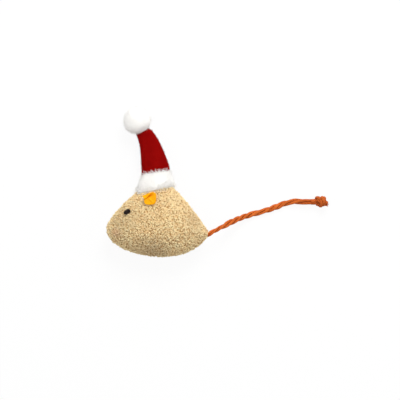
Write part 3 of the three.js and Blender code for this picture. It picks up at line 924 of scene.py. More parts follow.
@dataclass(frozen=True)
class Studio:
    """Pale floor, white surround and soft lamps."""

    lamps: tuple[Lamp, ...] = (Lamp("key", (0.2, 0.69, 0.77), 0.5, 7.6),
                               Lamp("fill", (-0.55, -0.1, 0.8), 0.9, 2.7),
                               Lamp("side", (0.62, 0.1, 0.45), 0.6, 1.2))
    aim: Place = (0.02, 0.02, 0.0)
    ambient: float = 0.36
    floor_half: float = 4.0
    floor_white: float = 0.92
    floor_tones: tuple[Colour, Colour] = ((0.93, 0.93, 0.93, 1.0), (0.97, 0.97, 0.97, 1.0))

    def seen(self, bench: Bench) -> Socket:
        """Gives 1 for rays that see the surround itself, straight or by gloss.

        Args:
            bench: Bench of the floor or the world.

        Returns:
            The output with the value.
        """
        path = bench.put("ShaderNodeLightPath").outputs
        glossy = bench.sum("MAXIMUM", path["Is Glossy Ray"], path["Is Transmission Ray"])
        return bench.sum("MAXIMUM", path["Is Camera Ray"], glossy)

    def floor(self) -> None:
        """Lays the pale floor, which keeps a faint shadow."""
        material = bpy.data.materials.new("studio_floor")
        material.use_nodes = True
        bench = Bench(material.node_tree)
        bench.tree.nodes.clear()
        place = bench.put("ShaderNodeTexCoord").outputs["Object"]
        paper = bench.put("ShaderNodeTexNoise", {"Vector": place, "Scale": 30.0})
        shade = bench.mix(paper.outputs["Fac"], *self.floor_tones)
        matt = bench.gain("ShaderNodeBsdfDiffuse", {"Color": shade})
        glow = bench.gain("ShaderNodeEmission", {"Color": WHITE, "Strength": 1.0})
        amount = bench.times(self.seen(bench), self.floor_white)
        mixed = bench.gain("ShaderNodeMixShader", {0: amount, 1: matt, 2: glow})
        bench.put("ShaderNodeOutputMaterial", {"Surface": mixed})
        mesh = bpy.data.meshes.new("studio_floor")
        half = self.floor_half
        mesh.from_pydata([(-half, -half, 0), (half, -half, 0), (half, half, 0), (-half, half, 0)],
                         [], [(0, 1, 2, 3)])
        dress_mesh(mesh, material)
        put_in_scene("studio_floor", mesh)

    def surround(self) -> None:
        """Lights the scene all round and shows white behind it."""
        world = bpy.data.worlds.new("studio")
        world.use_nodes = True
        bpy.context.scene.world = world
        bench = Bench(world.node_tree)
        bench.tree.nodes.clear()
        soft, white = (bench.gain("ShaderNodeBackground", {"Color": WHITE, "Strength": strength})
                       for strength in (self.ambient, 1.0))
        mixed = bench.gain("ShaderNodeMixShader", {0: self.seen(bench), 1: soft, 2: white})
        bench.put("ShaderNodeOutputWorld", {"Surface": mixed})

    def light(self) -> None:
        """Sets the whole studio up."""
        bpy.context.scene.view_settings.view_transform = "Standard"
        self.floor()
        self.surround()
        for lamp in self.lamps:
            lamp.hang(self.aim)


@dataclass(frozen=True)
class BodyForm:
    """Side outline and stuffed thickness of the body, as the solids have them."""

    nose: Spot = (-39.8, -3.8)
    peak: Spot = (-1.5, 34.5)
    rump: Spot = (40.5, -7.0)
    belly: Spot = (4.0, -25.6)
    brow: float = 9.3
    chin: float = 12.7
    peak_front: float = 7.0
    peak_rear: float = 13.5
    belly_front: float = 22.0
    belly_rear: float = 14.5
    back_reach: float = 21.0
    back_heading: float = 125.0
    under_reach: float = 15.0
    under_heading: float = 242.0
    half: float = 19.0
    seam: float = 18.5
    dome_flat: float = 2.4
    dome_round: float = 0.7

    def outline(self, count: int = 360) -> Points:
        """Draws the side outline.

        Args:
            count: Number of points.

        Returns:
            Points an even step apart, the first one at the rump.
        """
        nose, peak, rump, belly = (np.array(p) for p in
                                   (self.nose, self.peak, self.rump, self.belly))
        x, y = np.eye(2)
        turns = (
            (rump, rump + self.back_reach * heading(self.back_heading),
             peak + self.peak_rear * x, peak),
            (peak, peak - self.peak_front * x, nose + self.brow * y, nose),
            (nose, nose - self.chin * y, belly - self.belly_front * x, belly),
            (belly, belly + self.belly_rear * x,
             rump + self.under_reach * heading(self.under_heading), rump),
        )
        line = np.vstack([bent_line(*turn, 160)[:-1] for turn in turns] + [rump[None]])
        return at_lengths(line, np.linspace(0, run_lengths(line)[-1], count + 1)[:-1])

    def reach(self, x: Points, y: Points) -> Points:
        """Gives how far the outline is from the middle, through each point.

        Args:
            x: Places along the body.
            y: Places up the body.

        Returns:
            The reach at each place.
        """
        line = self.outline(720)
        turn = np.arctan2(line[:, 1], line[:, 0])
        return np.interp(np.arctan2(y, x), turn, np.linalg.norm(line, axis=1), period=2 * math.pi)

    def dome(self, share: Points) -> Points:
        """Gives the crown of the stuffing at a share of the way to the seam."""
        return (1 - np.clip(share, 0, 1) ** self.dome_flat) ** self.dome_round

    def heights(self, x: Points, y: Points) -> Points:
        """Gives the height of the flank over the seam at each place."""
        return self.half * self.dome(np.hypot(x, y) / self.reach(x, y))

    def height(self, x: float, y: float) -> float:
        """Gives the height of the flank over the seam at one place."""
        return float(self.heights(np.array([x]), np.array([y]))[0])

    def frame_at(self, x: float, y: float, flank: Flank) -> tuple[Points, Points, Points, Points]:
        """Gives a point on a flank and its directions.

        Args:
            x: Place along the body.
            y: Place up the body.
            flank: Which flank.

        Returns:
            The point, then the directions across, along and out of the cloth.
        """
        step = 0.5
        slope = np.array([self.height(x + step, y) - self.height(x - step, y),
                          self.height(x, y + step) - self.height(x, y - step)]) / (2 * step)
        out = unit(np.array([-slope[0], -slope[1], 1.0])) * (1, 1, flank.value)
        along = unit(np.array([0.0, 1.0, 0.0]) - out[1] * out)
        place = np.array([x, y, self.seam + flank.value * self.height(x, y)])
        return place, np.cross(along, out), along, out


FORM = BodyForm()


@dataclass(frozen=True)
class Tail:
    """Twisted cord tail with an overhand knot at its end."""

    diameter: float = 4.0
    clearance: float = 0.1
    hidden: float = 3.0
    step: float = 0.4
    knot_step: float = 0.35
    floor_height: float = 2.1
    pitch: float = 24.0
    ply_radius: float = 1.03
    ply_offset: float = 1.15
    ply_sides: int = 12
    ply_swell: float = 0.09
    thin: float = 0.8
    thin_gain: float = 0.26
    thin_length: float = 10.0
    thin_over: float = 8.0
    loose_length: float = 16.0
    loose_over: float = 8.0
    loose_share: float = 0.75
    # How much darker the cord is drawn near and over its knot.
    knot_darkening: float = 0.3
    own_turn: float = 5.0
    # Reach, spread and strength of the painted shade where the knot's turns touch.
    press_reach: float = 2.4
    press_over: float = 0.9
    press_most: float = 0.9
    spacing: float = 2.6
    strand: float = 2.4
    knot_gap: float = 0.3
    knot_turn: float = 300.0
    knot_stretch: float = 1.12
    knot_pull: float = 0.26
    knot_pitch: float = 22.0
    unevenness: float = 5.0
    frayed: int = 26
    fall: tuple[Place, ...] = (
        (0, 0, 1), (3.5, 1.9, 0.99), (7.5, 4.0, 0.93), (12, 6.3, 0.76), (16.5, 8.6, 0.53),
        (21, 10.6, 0.31), (26, 12.4, 0.14), (31, 14.0, 0.04), (36, 15.3, 0), (42, 16.9, 0),
        (48, 18.9, 0), (54, 21.2, 0), (58.5, 22.9, 0))
    rise: tuple[Place, ...] = ((65, 24.1, 0.5), (72, 24.2, 1), (77.9, 23.9, 1))
    loop: tuple[Place, ...] = (
        (-2.3, 0.3, 0), (-1.4, 0.35, 0), (-0.3, 0.64, 0), (0.55, 0.8, 0.25), (1, 0.6, 1.15),
        (1, -0.4, 1.7), (0.95, -1.4, 1.15), (0.8, -1.5, 0.05), (0.4, -0.9, -0.7),
        (-0.2, -0.35, -0.9), (-0.75, 0.4, -1.25), (-0.95, 1.35, -0.95), (-1, 1.8, 0.05),
        (-0.9, 1.25, 1.05), (-0.5, 0.2, 1.2), (0.1, -0.38, 0.75), (1.1, -0.42, 0.48),
        (1.9, -0.9, -0.1))

    def knot_route(self) -> Points:
        """Lays the route of the knot, its entry at the end of the cord.

        Returns:
            Points of the route, in millimetres.
        """
        route = smooth_route(np.array(self.loop) * self.spacing, 24)
        cos, sin = heading(self.knot_turn)
        turned = np.stack([route[:, 0] * self.knot_stretch, cos * route[:, 1] - sin * route[:, 2],
                           sin * route[:, 1] + cos * route[:, 2]], axis=1)
        turned[:, 2] += self.strand / 2 - turned[:, 2].min()
        end = np.array(FORM.rump) + np.array(self.rise[-1][:2])
        turned[:, :2] += end + (self.knot_gap, 0) - turned[0, :2]
        return turned

    def cord_route(self) -> Points:
        """Lays the route of the cord from the corner of the body to the knot.

        Returns:
            Points of the route, in millimetres.
        """
        entry = self.knot_route()[0, 2]
        low = self.floor_height
        marks = [(x, y, low + share * (FORM.seam - low)) for x, y, share in self.fall]
        marks += [(x, y, low + share * (entry - low)) for x, y, share in self.rise]
        return smooth_route(np.array(marks) + (*FORM.rump, 0.0))

    def plies(self, path: Points, turn: Points, offset: float | Points, radius: float | Points,
              darker: float | Points = 0.0, depth: float | Points = 1.0,
              crossed: bool = False) -> Shape:
        """Twists three plies round a path.

        Args:
            path: Points of the path.
            turn: Angle of the twist at each point.
            offset: How far a ply lies from the path.
            radius: Radius of a ply.
            darker: How much darker the plies are drawn outside their grooves, for the whole or
                each point.
            depth: Strength of the painted shade in the grooves, likewise.
            crossed: Whether the path crosses itself, so painted shade is laid where its turns
                touch.

        Returns:
            The shape of the plies.
        """
        first, second = carried_frame(path)
        shape = Shape()
        rng = np.random.default_rng(5)
        length = run_lengths(path)
        spots = np.arange(0, length[-1] + self.unevenness, self.unevenness)
        offset, darker, wide = (spread_over(value, len(path))[:, None]
                                for value in (offset, darker, radius))
        for ply in range(3):
            angle = (turn + ply * 2 * math.pi / 3)[:, None]
            centre = path + offset * (np.cos(angle) * first + np.sin(angle) * second)
            uneven = rng.uniform(-self.ply_swell, self.ply_swell, len(spots))
            swell = 1 + np.interp(length, spots, uneven)
            groove_strength = (depth * np.interp(length, spots, rng.uniform(0.0, 1.0, len(spots))))[:, None]
            rings = tube_rings(centre, radius * swell, self.ply_sides)
            far = np.linalg.norm(rings - path[:, None], axis=2)
            # Painted shade in the grooves between the plies, where a ply's surface lies near the
            # middle of the cord.
            painted_shade = groove_strength * np.clip((0.86 - far / (offset + wide)) / 0.3, 0, 1) ** 1.5
            if crossed:
                painted_shade = np.maximum(painted_shade, self.pressed(rings, path, length))
            shape.loft(rings, darker + (1 - darker) * painted_shade)
        return shape

    def pressed(self, rings: Points, path: Points, length: Points) -> Points:
        """Gives the painted shade that another turn of the cord lays on each point of a ply.

        Args:
            rings: Rings of the ply.
            path: Points of the path.
            length: Length along the path at each of them.

        Returns:
            A share, 0 to 1, for each point of the rings.
        """
        far = np.linalg.norm(rings[:, :, None] - path, axis=3)
        same = np.abs(length[:, None] - length) < self.own_turn
        nearest = np.where(same[:, None], np.inf, far).min(axis=2)
        return self.press_most * np.clip((self.press_reach - nearest) / self.press_over, 0, 1)

    def build_cord(self) -> tuple[Piece, Points]:
        """Builds the free cord.

        Returns:
            The piece and its path, in millimetres.
        """
        into = at_lengths(self.knot_route(), np.linspace(0, self.hidden, 8))
        route = self.cord_route()
        back = route[0] - unit(route[4] - route[0]) * self.hidden
        path = even_steps(np.vstack([back, route, into]), self.step)
        length = run_lengths(path)
        loose = np.clip((length - length[-1] + self.loose_length) / self.loose_over, 0, 1)
        firm = 1 - self.loose_share * loose
        rate = 2 * math.pi / self.pitch * (1 + 0.3 * np.sin(length * 0.23)) * firm
        turn = -np.concatenate([[0], np.cumsum(rate[1:] * np.diff(length))])
        full = np.clip((length - self.thin_length) / self.thin_over, 0, 1)
        swell = self.thin + self.thin_gain * full
        swell += 0.05 * np.sin(length * 0.31 + 1) + 0.03 * np.sin(length * 0.83)
        # The cord is drawn darker over its loose last length toward the knot, and its groove shade
        # fades there.
        shape = self.plies(path, turn, self.ply_offset * swell, self.ply_radius * swell,
                           self.knot_darkening * loose, firm)
        return shape.to_object("tail_cord_plies", TAIL_CORD.material()), path

    def build_knot(self) -> Piece:
        """Builds the knot, its strands pressed together, with a frayed cut end.

        Returns:
            The piece.
        """
        route = even_steps(self.knot_route(), self.knot_step)
        middle = route.mean(axis=0)
        length = run_lengths(route)
        tight = (np.clip(length / 3, 0, 1) * np.clip((length[-1] - length) / 5, 0.3, 1))[:, None]
        path = route + (middle - route) * self.knot_pull * tight
        right_lobe = np.exp(-((length - 14) / 5) ** 2)
        left_lobe = np.exp(-((length - 31) / 6) ** 2)
        path[:, 0] += 0.5 * left_lobe
        size = 1.14 + 0.1 * right_lobe - 0.16 * left_lobe
        turn = -2 * math.pi * length / self.knot_pitch
        # The whole knot is drawn darker, besides the painted shade in its grooves and where its
        # turns touch.
        shape = self.plies(path, turn, 0.9 * size, 1.08 * size, self.knot_darkening, crossed=True)
        rng = np.random.default_rng(7)
        ahead = unit(path[-1] - path[-3])
        for _ in range(self.frayed):
            lean = unit(ahead + rng.normal(0, 0.33, 3))
            root = path[-1] + rng.normal(0, 0.75, 3) - 0.4 * ahead
            reach = rng.uniform(1.2, 2.8)
            line = bent_line(root, root + ahead * reach * 0.4,
                             root + lean * reach * 0.7, root + lean * reach, 5)
            shape.loft(tube_rings(line, np.linspace(0.16, 0.06, 5), 4))
        return shape.to_object("tail_knot_plies", TAIL_CORD.material())

    def build(self) -> None:
        """Builds the tail and lets it ride with its body."""
        cord, path = self.build_cord()
        knot = self.build_knot()
        for piece, node in ((cord, "tail_cord"), (knot, "tail_knot")):
            keep_above(piece.data, self.clearance)
            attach(piece, "tail")
            hand_in(piece, "cord", node)


@dataclass(frozen=True)
class Stuffing:
    """Cloth simulation that swells a sewn form held along its seam."""

    pressure: float = 4.0
    frames: int = 20
    enlarge: float = 10.0
    voxel: float = 1.7
    most: float = 1.6
    seam_half: float = 1.0
    tension: float = 20.0
    bending: float = 1.0

    def swell(self, piece: Piece, seam: float) -> None:
        """Fills a sewn form.

        Args:
            piece: Closed piece, which gets an even mesh of its own.
            seam: Height of the seam that holds still, in millimetres.
        """
        remesh = piece.modifiers.new("even", "REMESH")
        remesh.mode = "VOXEL"
        remesh.voxel_size = self.voxel * MM
        mesh = settle(piece)
        start = read_points(mesh)
        write_points(mesh, start * self.enlarge)
        held = piece.vertex_groups.new(name="seam")
        near = np.abs(start[:, 2] - seam * MM) < self.seam_half * MM
        held.add(np.flatnonzero(near).tolist(), 1.0, "ADD")
        cloth = piece.modifiers.new("Cloth", "CLOTH")
        cloth.settings.use_pressure = True
        cloth.settings.uniform_pressure_force = self.pressure
        cloth.settings.vertex_group_mass = "seam"
        cloth.settings.tension_stiffness = self.tension
        cloth.settings.bending_stiffness = self.bending
        cloth.settings.effector_weights.gravity = 0
        cloth.point_cache.frame_end = self.frames + 1
        scene = bpy.context.scene
        for step in range(1, self.frames + 1):
            scene.frame_set(step)
        swollen = baked(piece)
        moved = read_points(swollen) / self.enlarge - start
        piece.modifiers.clear()
        bpy.data.meshes.remove(swollen)
        scene.frame_set(1)
        far = np.linalg.norm(moved, axis=1)[:, None]
        moved *= np.minimum(1, self.most * MM / np.maximum(far, 1e-9))
        write_points(mesh, start + moved)
        piece.vertex_groups.clear()
        LOG.info("stuffing moved %.2f mm at most", far.max() / MM)


@dataclass(frozen=True)
class Body:
    """Stuffed fleece body with its curly pile and thread eyes."""

    pile: float = 0.9
    slack: float = 1.2
    lowest: float = 0.9
    eye: Spot = (-22.8, 9.5)
    eye_tilt: float = 30.0
    eye_size: Place = (5.7, 4.3, 1.6)
    eye_waist: float = 0.13
    eye_sunk: float = 0.9
    eye_stitches: int = 8
    eye_strand: float = 0.34
    head_dent: float = 0.8
    belly_dent: float = 1.1
    deepest: float = 1.1
    least_room: float = 0.6
    rooted: float = 0.6

    def skin_shape(self) -> Shape:
        """Lofts the backing cloth from the outline.

        Returns:
            The closed shape, a little slimmer than when stuffed.
        """
        line = FORM.outline(140)
        ahead = np.roll(line, -1, axis=0) - np.roll(line, 1, axis=0)
        inward = np.stack([-ahead[:, 1], ahead[:, 0]], axis=1)
        line = line + inward / np.linalg.norm(inward, axis=1)[:, None] * self.pile
        shares = np.sin(np.linspace(0.03, math.pi / 2, 22))
        half = FORM.half - self.pile - self.slack
        rings = []
        for side, row in ((1, shares), (-1, shares[-2::-1])):
            for share in row:
                height = FORM.seam + side * half * FORM.dome(share)
                rings.append(np.column_stack([line * share, np.full(len(line), height)]))
        return Shape().loft(np.array(rings))

    def dents(self, points: Points) -> Points:
        """Gives how far uneven filling lets the cloth sink at each point.

        Args:
            points: Points of the cloth.

        Returns:
            The depths, all in millimetres.
        """
        x, y = points[:, 0], points[:, 1]

        def step(value: Points) -> Points:
            """Rises softly from 0 to 1."""
            return 0.5 + 0.5 * np.tanh(value)

        behind_head = self.head_dent * step((-13.0 - x) / 2.4) * step((y + 5.0) / 3.0)
        forward = 0.3 + 0.7 * step((10.0 - x) / 8.0)
        under_belly = self.belly_dent * step((-11.0 - y) / 4.0) * forward
        lumps = 0.12 * np.sin(0.55 * x + 0.3 * y + 1) + 0.1 * np.sin(0.25 * x - 0.6 * y + 2.2)
        return np.clip(np.maximum(behind_head, under_belly) + lumps, 0, self.deepest)

    def build_skin(self) -> Piece:
        """Builds the stuffed backing cloth, flat where it rests.

        Returns:
            The piece.
        """
        skin = self.skin_shape().to_object("body_backing", FLEECE_SKIN.material())
        Stuffing().swell(skin, FORM.seam)
        smooth = skin.modifiers.new("even", "SUBSURF")
        smooth.levels = smooth.render_levels = 1
        mesh = settle(skin)
        points = read_points(mesh) / MM
        room = FORM.heights(points[:, 0], points[:, 1]) - self.pile * self.rooted
        room = np.maximum(room, self.least_room)
        over = np.clip(points[:, 2] - FORM.seam, -room, room)
        over -= np.sign(over) * np.minimum(np.abs(over) / 6, 1) * self.dents(points)
        points[:, 2] = np.maximum(FORM.seam + over, self.lowest)
        write_points(mesh, points * MM)
        smooth_mesh(mesh)
        dress_mesh(mesh, FLEECE_SKIN.material())
        return skin

    def half_of(self, skin: Piece, flank: Flank) -> Piece:
        """Copies one flank of the backing for its pile to grow on.

        Its faces are put in mixed order, because the pile is planted face by face and would
        leave a thin bare line where two runs of faces meet.

        Args:
            skin: The backing.
            flank: Which flank.

        Returns:
            The copy.
        """
        mesh = skin.data.copy()
        work = bmesh.new()
        work.from_mesh(mesh)
        far = [f for f in work.faces
               if (f.calc_center_median().z - FORM.seam * MM) * flank.value < 0]
        bmesh.ops.delete(work, geom=far, context="FACES")
        work.faces.index_update()
        mixed = np.random.default_rng(9).permutation(len(work.faces))
        work.faces.sort(key=lambda face: mixed[face.index])
        work.to_mesh(mesh)
        work.free()
        return put_in_scene("half", mesh)

    def build_eye(self, flank: Flank, name: str) -> Piece:
        """Builds one eye of black thread, sewn over and over.

        Args:
            flank: Which flank.
            name: Name of the piece.

        Returns:
            The piece.
        """
        place, across, along, out = FORM.frame_at(*self.eye, flank)
        cos, sin = heading(self.eye_tilt)
        long_way = flank.value * cos * across + sin * along
        short_way = np.cross(out, long_way)
        long_half, short_half, high = np.array(self.eye_size) / (2, 2, 1)
        shape = Shape()
        turn = full_turn(28)
        rings = []
        for share in np.linspace(0.0, 1.0, 9):
            wide = math.cos(share * math.pi / 2 * 0.94)
            lift = -self.eye_sunk + (high + 0.6) * math.sin(share * math.pi / 2)
            rings.append(place + out * lift + 0.9 * wide * (
                np.cos(turn)[:, None] * long_half * long_way
                + (np.sin(turn) * (1 - self.eye_waist * np.sin(turn) ** 4))[:, None]
                * short_half * short_way))
        shape.loft(np.array(rings))
        for share in np.linspace(-0.82, 0.82, self.eye_stitches):
            reach = short_half * math.sqrt(1 - share ** 2)
            reach *= 1 - self.eye_waist * (1 - share ** 2) ** 2
            crown = high * math.sqrt(1 - 0.75 * share ** 2)
            bend = np.linspace(-1.15, 1.15, 11)
            lean = 0.25 * math.sin(9.0 * share)
            line = np.array([place + long_way * (share * long_half + lean * b * 0.5)
                             + short_way * reach * math.sin(b)
                             + out * (crown * math.cos(b) - 0.45) for b in bend])
            shape.loft(tube_rings(line, self.eye_strand, 7))
        return shape.to_object(name, BLACK_THREAD.material())

    def build(self, pile: Pile) -> None:
        """Builds the body and dresses it.

        Args:
            pile: Trees for the curls.
        """
        skin = self.build_skin()
        grown = []
        for flank, name, seed in ((Flank.LEFT, "body_left_curls", 3),
                                  (Flank.RIGHT, "body_right_curls", 4)):
            half = self.half_of(skin, flank)
            grown.append(pile.grow(pile.curls, half, name, FLEECE_CURL.material(), seed, {}))
            bpy.data.objects.remove(half)
        left, right = "body_left_panel", "body_right_panel"
        for piece, nodes in ((skin, (left, right)), (grown[0], (left,)), (grown[1], (right,))):
            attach(piece, "mouse")
            hand_in(piece, "fleece", *nodes)
        for flank, node in ((Flank.LEFT, "eye_left"), (Flank.RIGHT, "eye_right")):
            eye = self.build_eye(flank, node + "_thread")
            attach(eye, "mouse")
            hand_in(eye, "eye_thread", node)


@dataclass(frozen=True)
class Ear:
    """Felt ear, sewn at its root, with one edge rolled over."""

    flank: Flank
    lift: float
    cup: float
    roll: float
    root: Spot = (-4.8, 15.6)
    sunk: float = 0.3
    lowest: float = 0.2
    felt: float = 0.9
    middle: Spot = (0.2, 3.0)
    crease_at: Spot = (0.2, 2.8)
    crease_heading: float = 50.0
    crease_high: float = 0.7
    # Strength of the painted shade in the crease of the fold.
    fold_shade: float = 0.95
    fold_at: Spot = (-4.95, 5.25)
    fold_heading: float = 23.0
    flap: Place = (2.6, 4.1, 4.9)
    pattern: tuple[Spot, ...] = (
        (1.3, 7.9), (-1.7, 6.6), (-4.95, 5.25), (-5.1, 3.3), (-4.8, 0.7), (-3.6, -0.4),
        (0.0, -0.7), (2.6, -0.4), (4.2, 1.2), (4.5, 5.2), (4.1, 7.6), (2.8, 8.5))

    def outline(self) -> Points:
        """Draws the flat pattern, with the flap that is rolled over.

        Returns:
            Points round the pattern.
        """
        marks = np.array(self.pattern)
        if self.roll:
            marks[:3] += np.outer(self.flap, heading(self.fold_heading + 90))
        line = smooth_route(np.vstack([marks, marks[:1]]), 12)
        return at_lengths(line, np.linspace(0, run_lengths(line)[-1], 81)[:-1])

    def sheet(self, flat: Points, depth: float) -> Points:
        """Shapes the felt over the ear's flat pattern.

        Args:
            flat: Places on the pattern.
            depth: Height over the under side of the felt.

        Returns:
            The places, in the ear's own directions.
        """
        bend = flat[:, 0] / self.cup
        place = np.stack([(self.cup - depth) * np.sin(bend), flat[:, 1],
                          self.cup - (self.cup - depth) * np.cos(bend)], axis=1)
        if not self.roll:
            return place
        away = heading(self.fold_heading + 90)
        past = np.maximum((flat - self.fold_at) @ away, 0)
        bent = np.minimum(past, math.pi * self.roll)
        round_by = self.roll - depth
        place[:, :2] += np.outer(round_by * np.sin(bent / self.roll) + bent - 2 * past, away)
        place[:, 2] += round_by * (1 - np.cos(bent / self.roll)) - 0.2 * (past - bent)
        crease = (flat - self.crease_at) @ heading(self.crease_heading)
        along = (flat - self.crease_at) @ heading(self.crease_heading - 90)
        ridge = np.exp(-(crease / 0.6) ** 2) * np.exp(-(along / 2.2) ** 2)
        place[:, 2] += self.crease_high * ridge
        return place

    def build(self, node: str, body: str) -> None:
        """Builds the ear and lets it ride.

        Args:
            node: Solid that it stands for.
            body: Body that it moves with.
        """
        place, across, along, out = FORM.frame_at(*self.root, self.flank)
        line = self.outline()
        middle = np.array(self.middle)
        shares = np.linspace(0.04, 1, 20)
        rings = [self.sheet(middle + (line - middle) * s, self.felt) for s in shares]
        rings += [self.sheet(middle + (line - middle) * s, 0.0) for s in shares[::-1]]
        rings = np.array(rings)
        shade = np.zeros(rings.shape[:2])
        # Painted shade in the crease under the rolled flap, strongest near the middle of the fold.
        if self.roll:
            flat = middle + (line - middle) * shares[:, None, None] - self.fold_at
            beyond = flat @ heading(self.fold_heading + 90)
            along_fold = flat @ heading(self.fold_heading)
            shade[:len(shares)] = (self.fold_shade * np.exp(-((beyond + 0.9) / 0.9) ** 2)
                                   * np.exp(-((along_fold - 4.2) / 3.2) ** 2))
        cos, sin = heading(self.lift)
        rings = np.stack([rings[..., 0] * self.flank.value,
                          rings[..., 1] * cos - rings[..., 2] * sin,
                          rings[..., 1] * sin + rings[..., 2] * cos], axis=-1)
        rings = place - out * self.sunk + rings @ np.array([across, along, out])
        rings[..., 2] = np.maximum(rings[..., 2], self.lowest)
        ear = Shape().loft(rings, shade).to_object(node + "_felt", ORANGE_FELT.material())
        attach(ear, body)
        hand_in(ear, "orange_felt", node)


@dataclass(frozen=True)
class Cap:
    """Red felt cap with a plush brim and a pompom."""

    sides: int = 56
    lowest: float = 0.4
    hem: Place = (-0.6, 26.2, 18.5)
    rise: float = 16.0
    rise_heading: float = 97.0
    bend: Place = (-3.54, 58.43, 13.5)
    tip: Place = (-12.3, 73.0, 10.3)
    brim: float = 12.4
    brim_low: float = 32.0
    brim_top: float = 24.0
    brim_puff: float = 0.4
    hem_forward: float = 0.8
    crown_rearward: float = 1.2
    brim_thick_top: float = 15.2
    brim_wave: float = 0.8
    brim_belly: float = 0.7
    hem_roll: float = 0.2
    crown_roll: float = 0.8
    plush: float = 1.1
    cone_low: float = 20.6
    cone_tip: float = 10.8
    cone_thick: float = 9.0
    cone_thin: float = 4.0
    cone_belly: float = 1.7
    cone_corner: float = 4.0
    cone_gap: float = 0.3
    cone_inside: float = 4.5
    bend_from: float = -1.5
    bend_to: float = 7.0
    pompom: Place = (-16.04, 79.61, 10.3)
    pompom_radius: float = 10.2
    pompom_full: float = 0.85
    pompom_sides: int = 48

    def line(self) -> Points:
        """Draws the middle line of the cap.

        Returns:
            Points an even step apart, from the hem to the tip.
        """
        hem = np.array(self.hem)
        first = hem + np.array([*(self.rise * heading(self.rise_heading)), 0.0])
        return even_steps(bent_line(hem, first, np.array(self.bend), np.array(self.tip), 200), 0.2)

    def ring(self, length: float, wide: float, thick: float, ripple: Points | float = 0.0,
             slide: float = 0.0) -> Points:
        """Sets one section across the cap.

        Args:
            length: Length along the middle line; it may lie past either end.
            wide: Width of the section.
            thick: Thickness of the section.
            ripple: What is added to the radius, for the whole or each point.
            slide: How far the section lies off the middle line, toward the tail.

        Returns:
            The points of the section.
        """
        line = self.line()
        whole = run_lengths(line)[-1]
        inside = min(max(length, 0.0), whole)
        near = at_lengths(line, np.array([max(inside - 0.4, 0), inside, min(inside + 0.4, whole)]))
        ahead = unit(near[2] - near[0])
        side = unit(np.cross(ahead, (0, 0, 1)))
        middle = near[1] + ahead * (length - inside) + side * slide
        up = np.cross(side, ahead)
        turn = full_turn(self.sides)
        return (middle + ((wide / 2 + ripple) * np.cos(turn))[:, None] * side
                + ((thick / 2 + ripple) * np.sin(turn))[:, None] * up)

    def brim_plan(self, length: float, inset: float) -> Points:
        """Sets one oval section of the brim.

        Args:
            length: Length along the cap.
            inset: How far the section is drawn in.

        Returns:
            The points of the section.
        """
        share = share_of(length, self.brim)
        turn = full_turn(self.sides)
        wide = self.brim_low + (self.brim_top - self.brim_low) * share
        wide += self.brim_puff * math.sin(math.pi * share)
        lump = 0.3 * np.sin(3 * turn + 0.5 * length) + 0.15 * np.sin(7 * turn - 0.8 * length)
        less = 2 * (self.plush + inset)
        slide = (self.crown_rearward + self.hem_forward) * share - self.hem_forward
        ring = self.ring(length, wide - less, self.brim_thick_top - less, lump, slide)
        wave = self.brim_wave * np.sin(2 * turn) * max(0.0, 1 - share / 0.4)
        ring[:, :2] += np.outer(wave, heading(self.rise_heading))
        return ring

    def brim_rings(self, rows: list[Spot]) -> Points:
        """Stretches the brim from its hem on the body to its top round the cone.

        Args:
            rows: Length along the cap and inset of each section.

        Returns:
            The sections, none below the floor.
        """
        turn = full_turn(self.sides)
        outward = np.clip(4 * np.sin(turn), -1, 1)
        hem, top = self.brim_plan(0.4, 0.0), self.brim_plan(self.brim, 0.0)
        low = FORM.seam + outward * (FORM.heights(hem[:, 0], hem[:, 1]) + 0.1)
        rings = []
        for length, inset in rows:
            share = share_of(length, self.brim)
            ring = self.brim_plan(length, inset)
            roll = self.hem_roll if share < 0.5 else self.crown_roll
            swell = self.brim_belly * math.sin(math.pi * share) - roll * inset
            ring[:, 2] = low + (top[:, 2] - low) * share + outward * swell
            rings.append(ring)
        rings = np.array(rings)
        rings[..., 2] = np.maximum(rings[..., 2], self.lowest)
        return rings

    def band(self, name: str, rows: list[Spot]) -> Piece:
        """Builds a closed band of the brim from rows as brim_rings takes them."""
        return Shape().loft(self.brim_rings(rows)).to_object(name, WHITE_PLUSH.material())

    def build_brim(self, pile: Pile) -> None:
        """Builds the plush brim round the peak of the body.

        Args:
            pile: Trees for the plush.
        """
        low_rows = [(0.6, 3.0), (0.0, 1.6), (0.1, 0.7), (0.8, 0.1)]
        low_rows += [(length, 0.0) for length in np.linspace(1.6, self.brim - 1.4, 10)]
        top_rows = [(self.brim - 0.3, 0.15), (self.brim, 0.7), (self.brim + 0.1, 2.0)]
        base = self.band("brim_backing", low_rows + top_rows)
        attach(base, "mouse")
        hand_in(base, "white_plush", "hat_brim")
        strips = (
            ("brim_plush", low_rows + top_rows, 11,
             {"Length": 0.0016, "Spacing": 0.0006, "Tilt": 1.0}),
            ("brim_fringe", top_rows, 12,
             {"Length": 0.0027, "Spacing": 0.00065, "Thickness": 0.00012, "Tilt": 1.3}),
            ("brim_hem_fringe", low_rows[1:5], 13,
             {"Length": 0.003, "Spacing": 0.0005, "Tilt": 1.0}))
        for name, rows, seed, sizes in strips:
            strip = self.band("strip", rows)
            plush = pile.grow(pile.fibres, strip, name, WHITE_PILE.material(), seed, sizes)
            bpy.data.objects.remove(strip)
            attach(plush, "mouse")
            hand_in(plush, "white_plush")

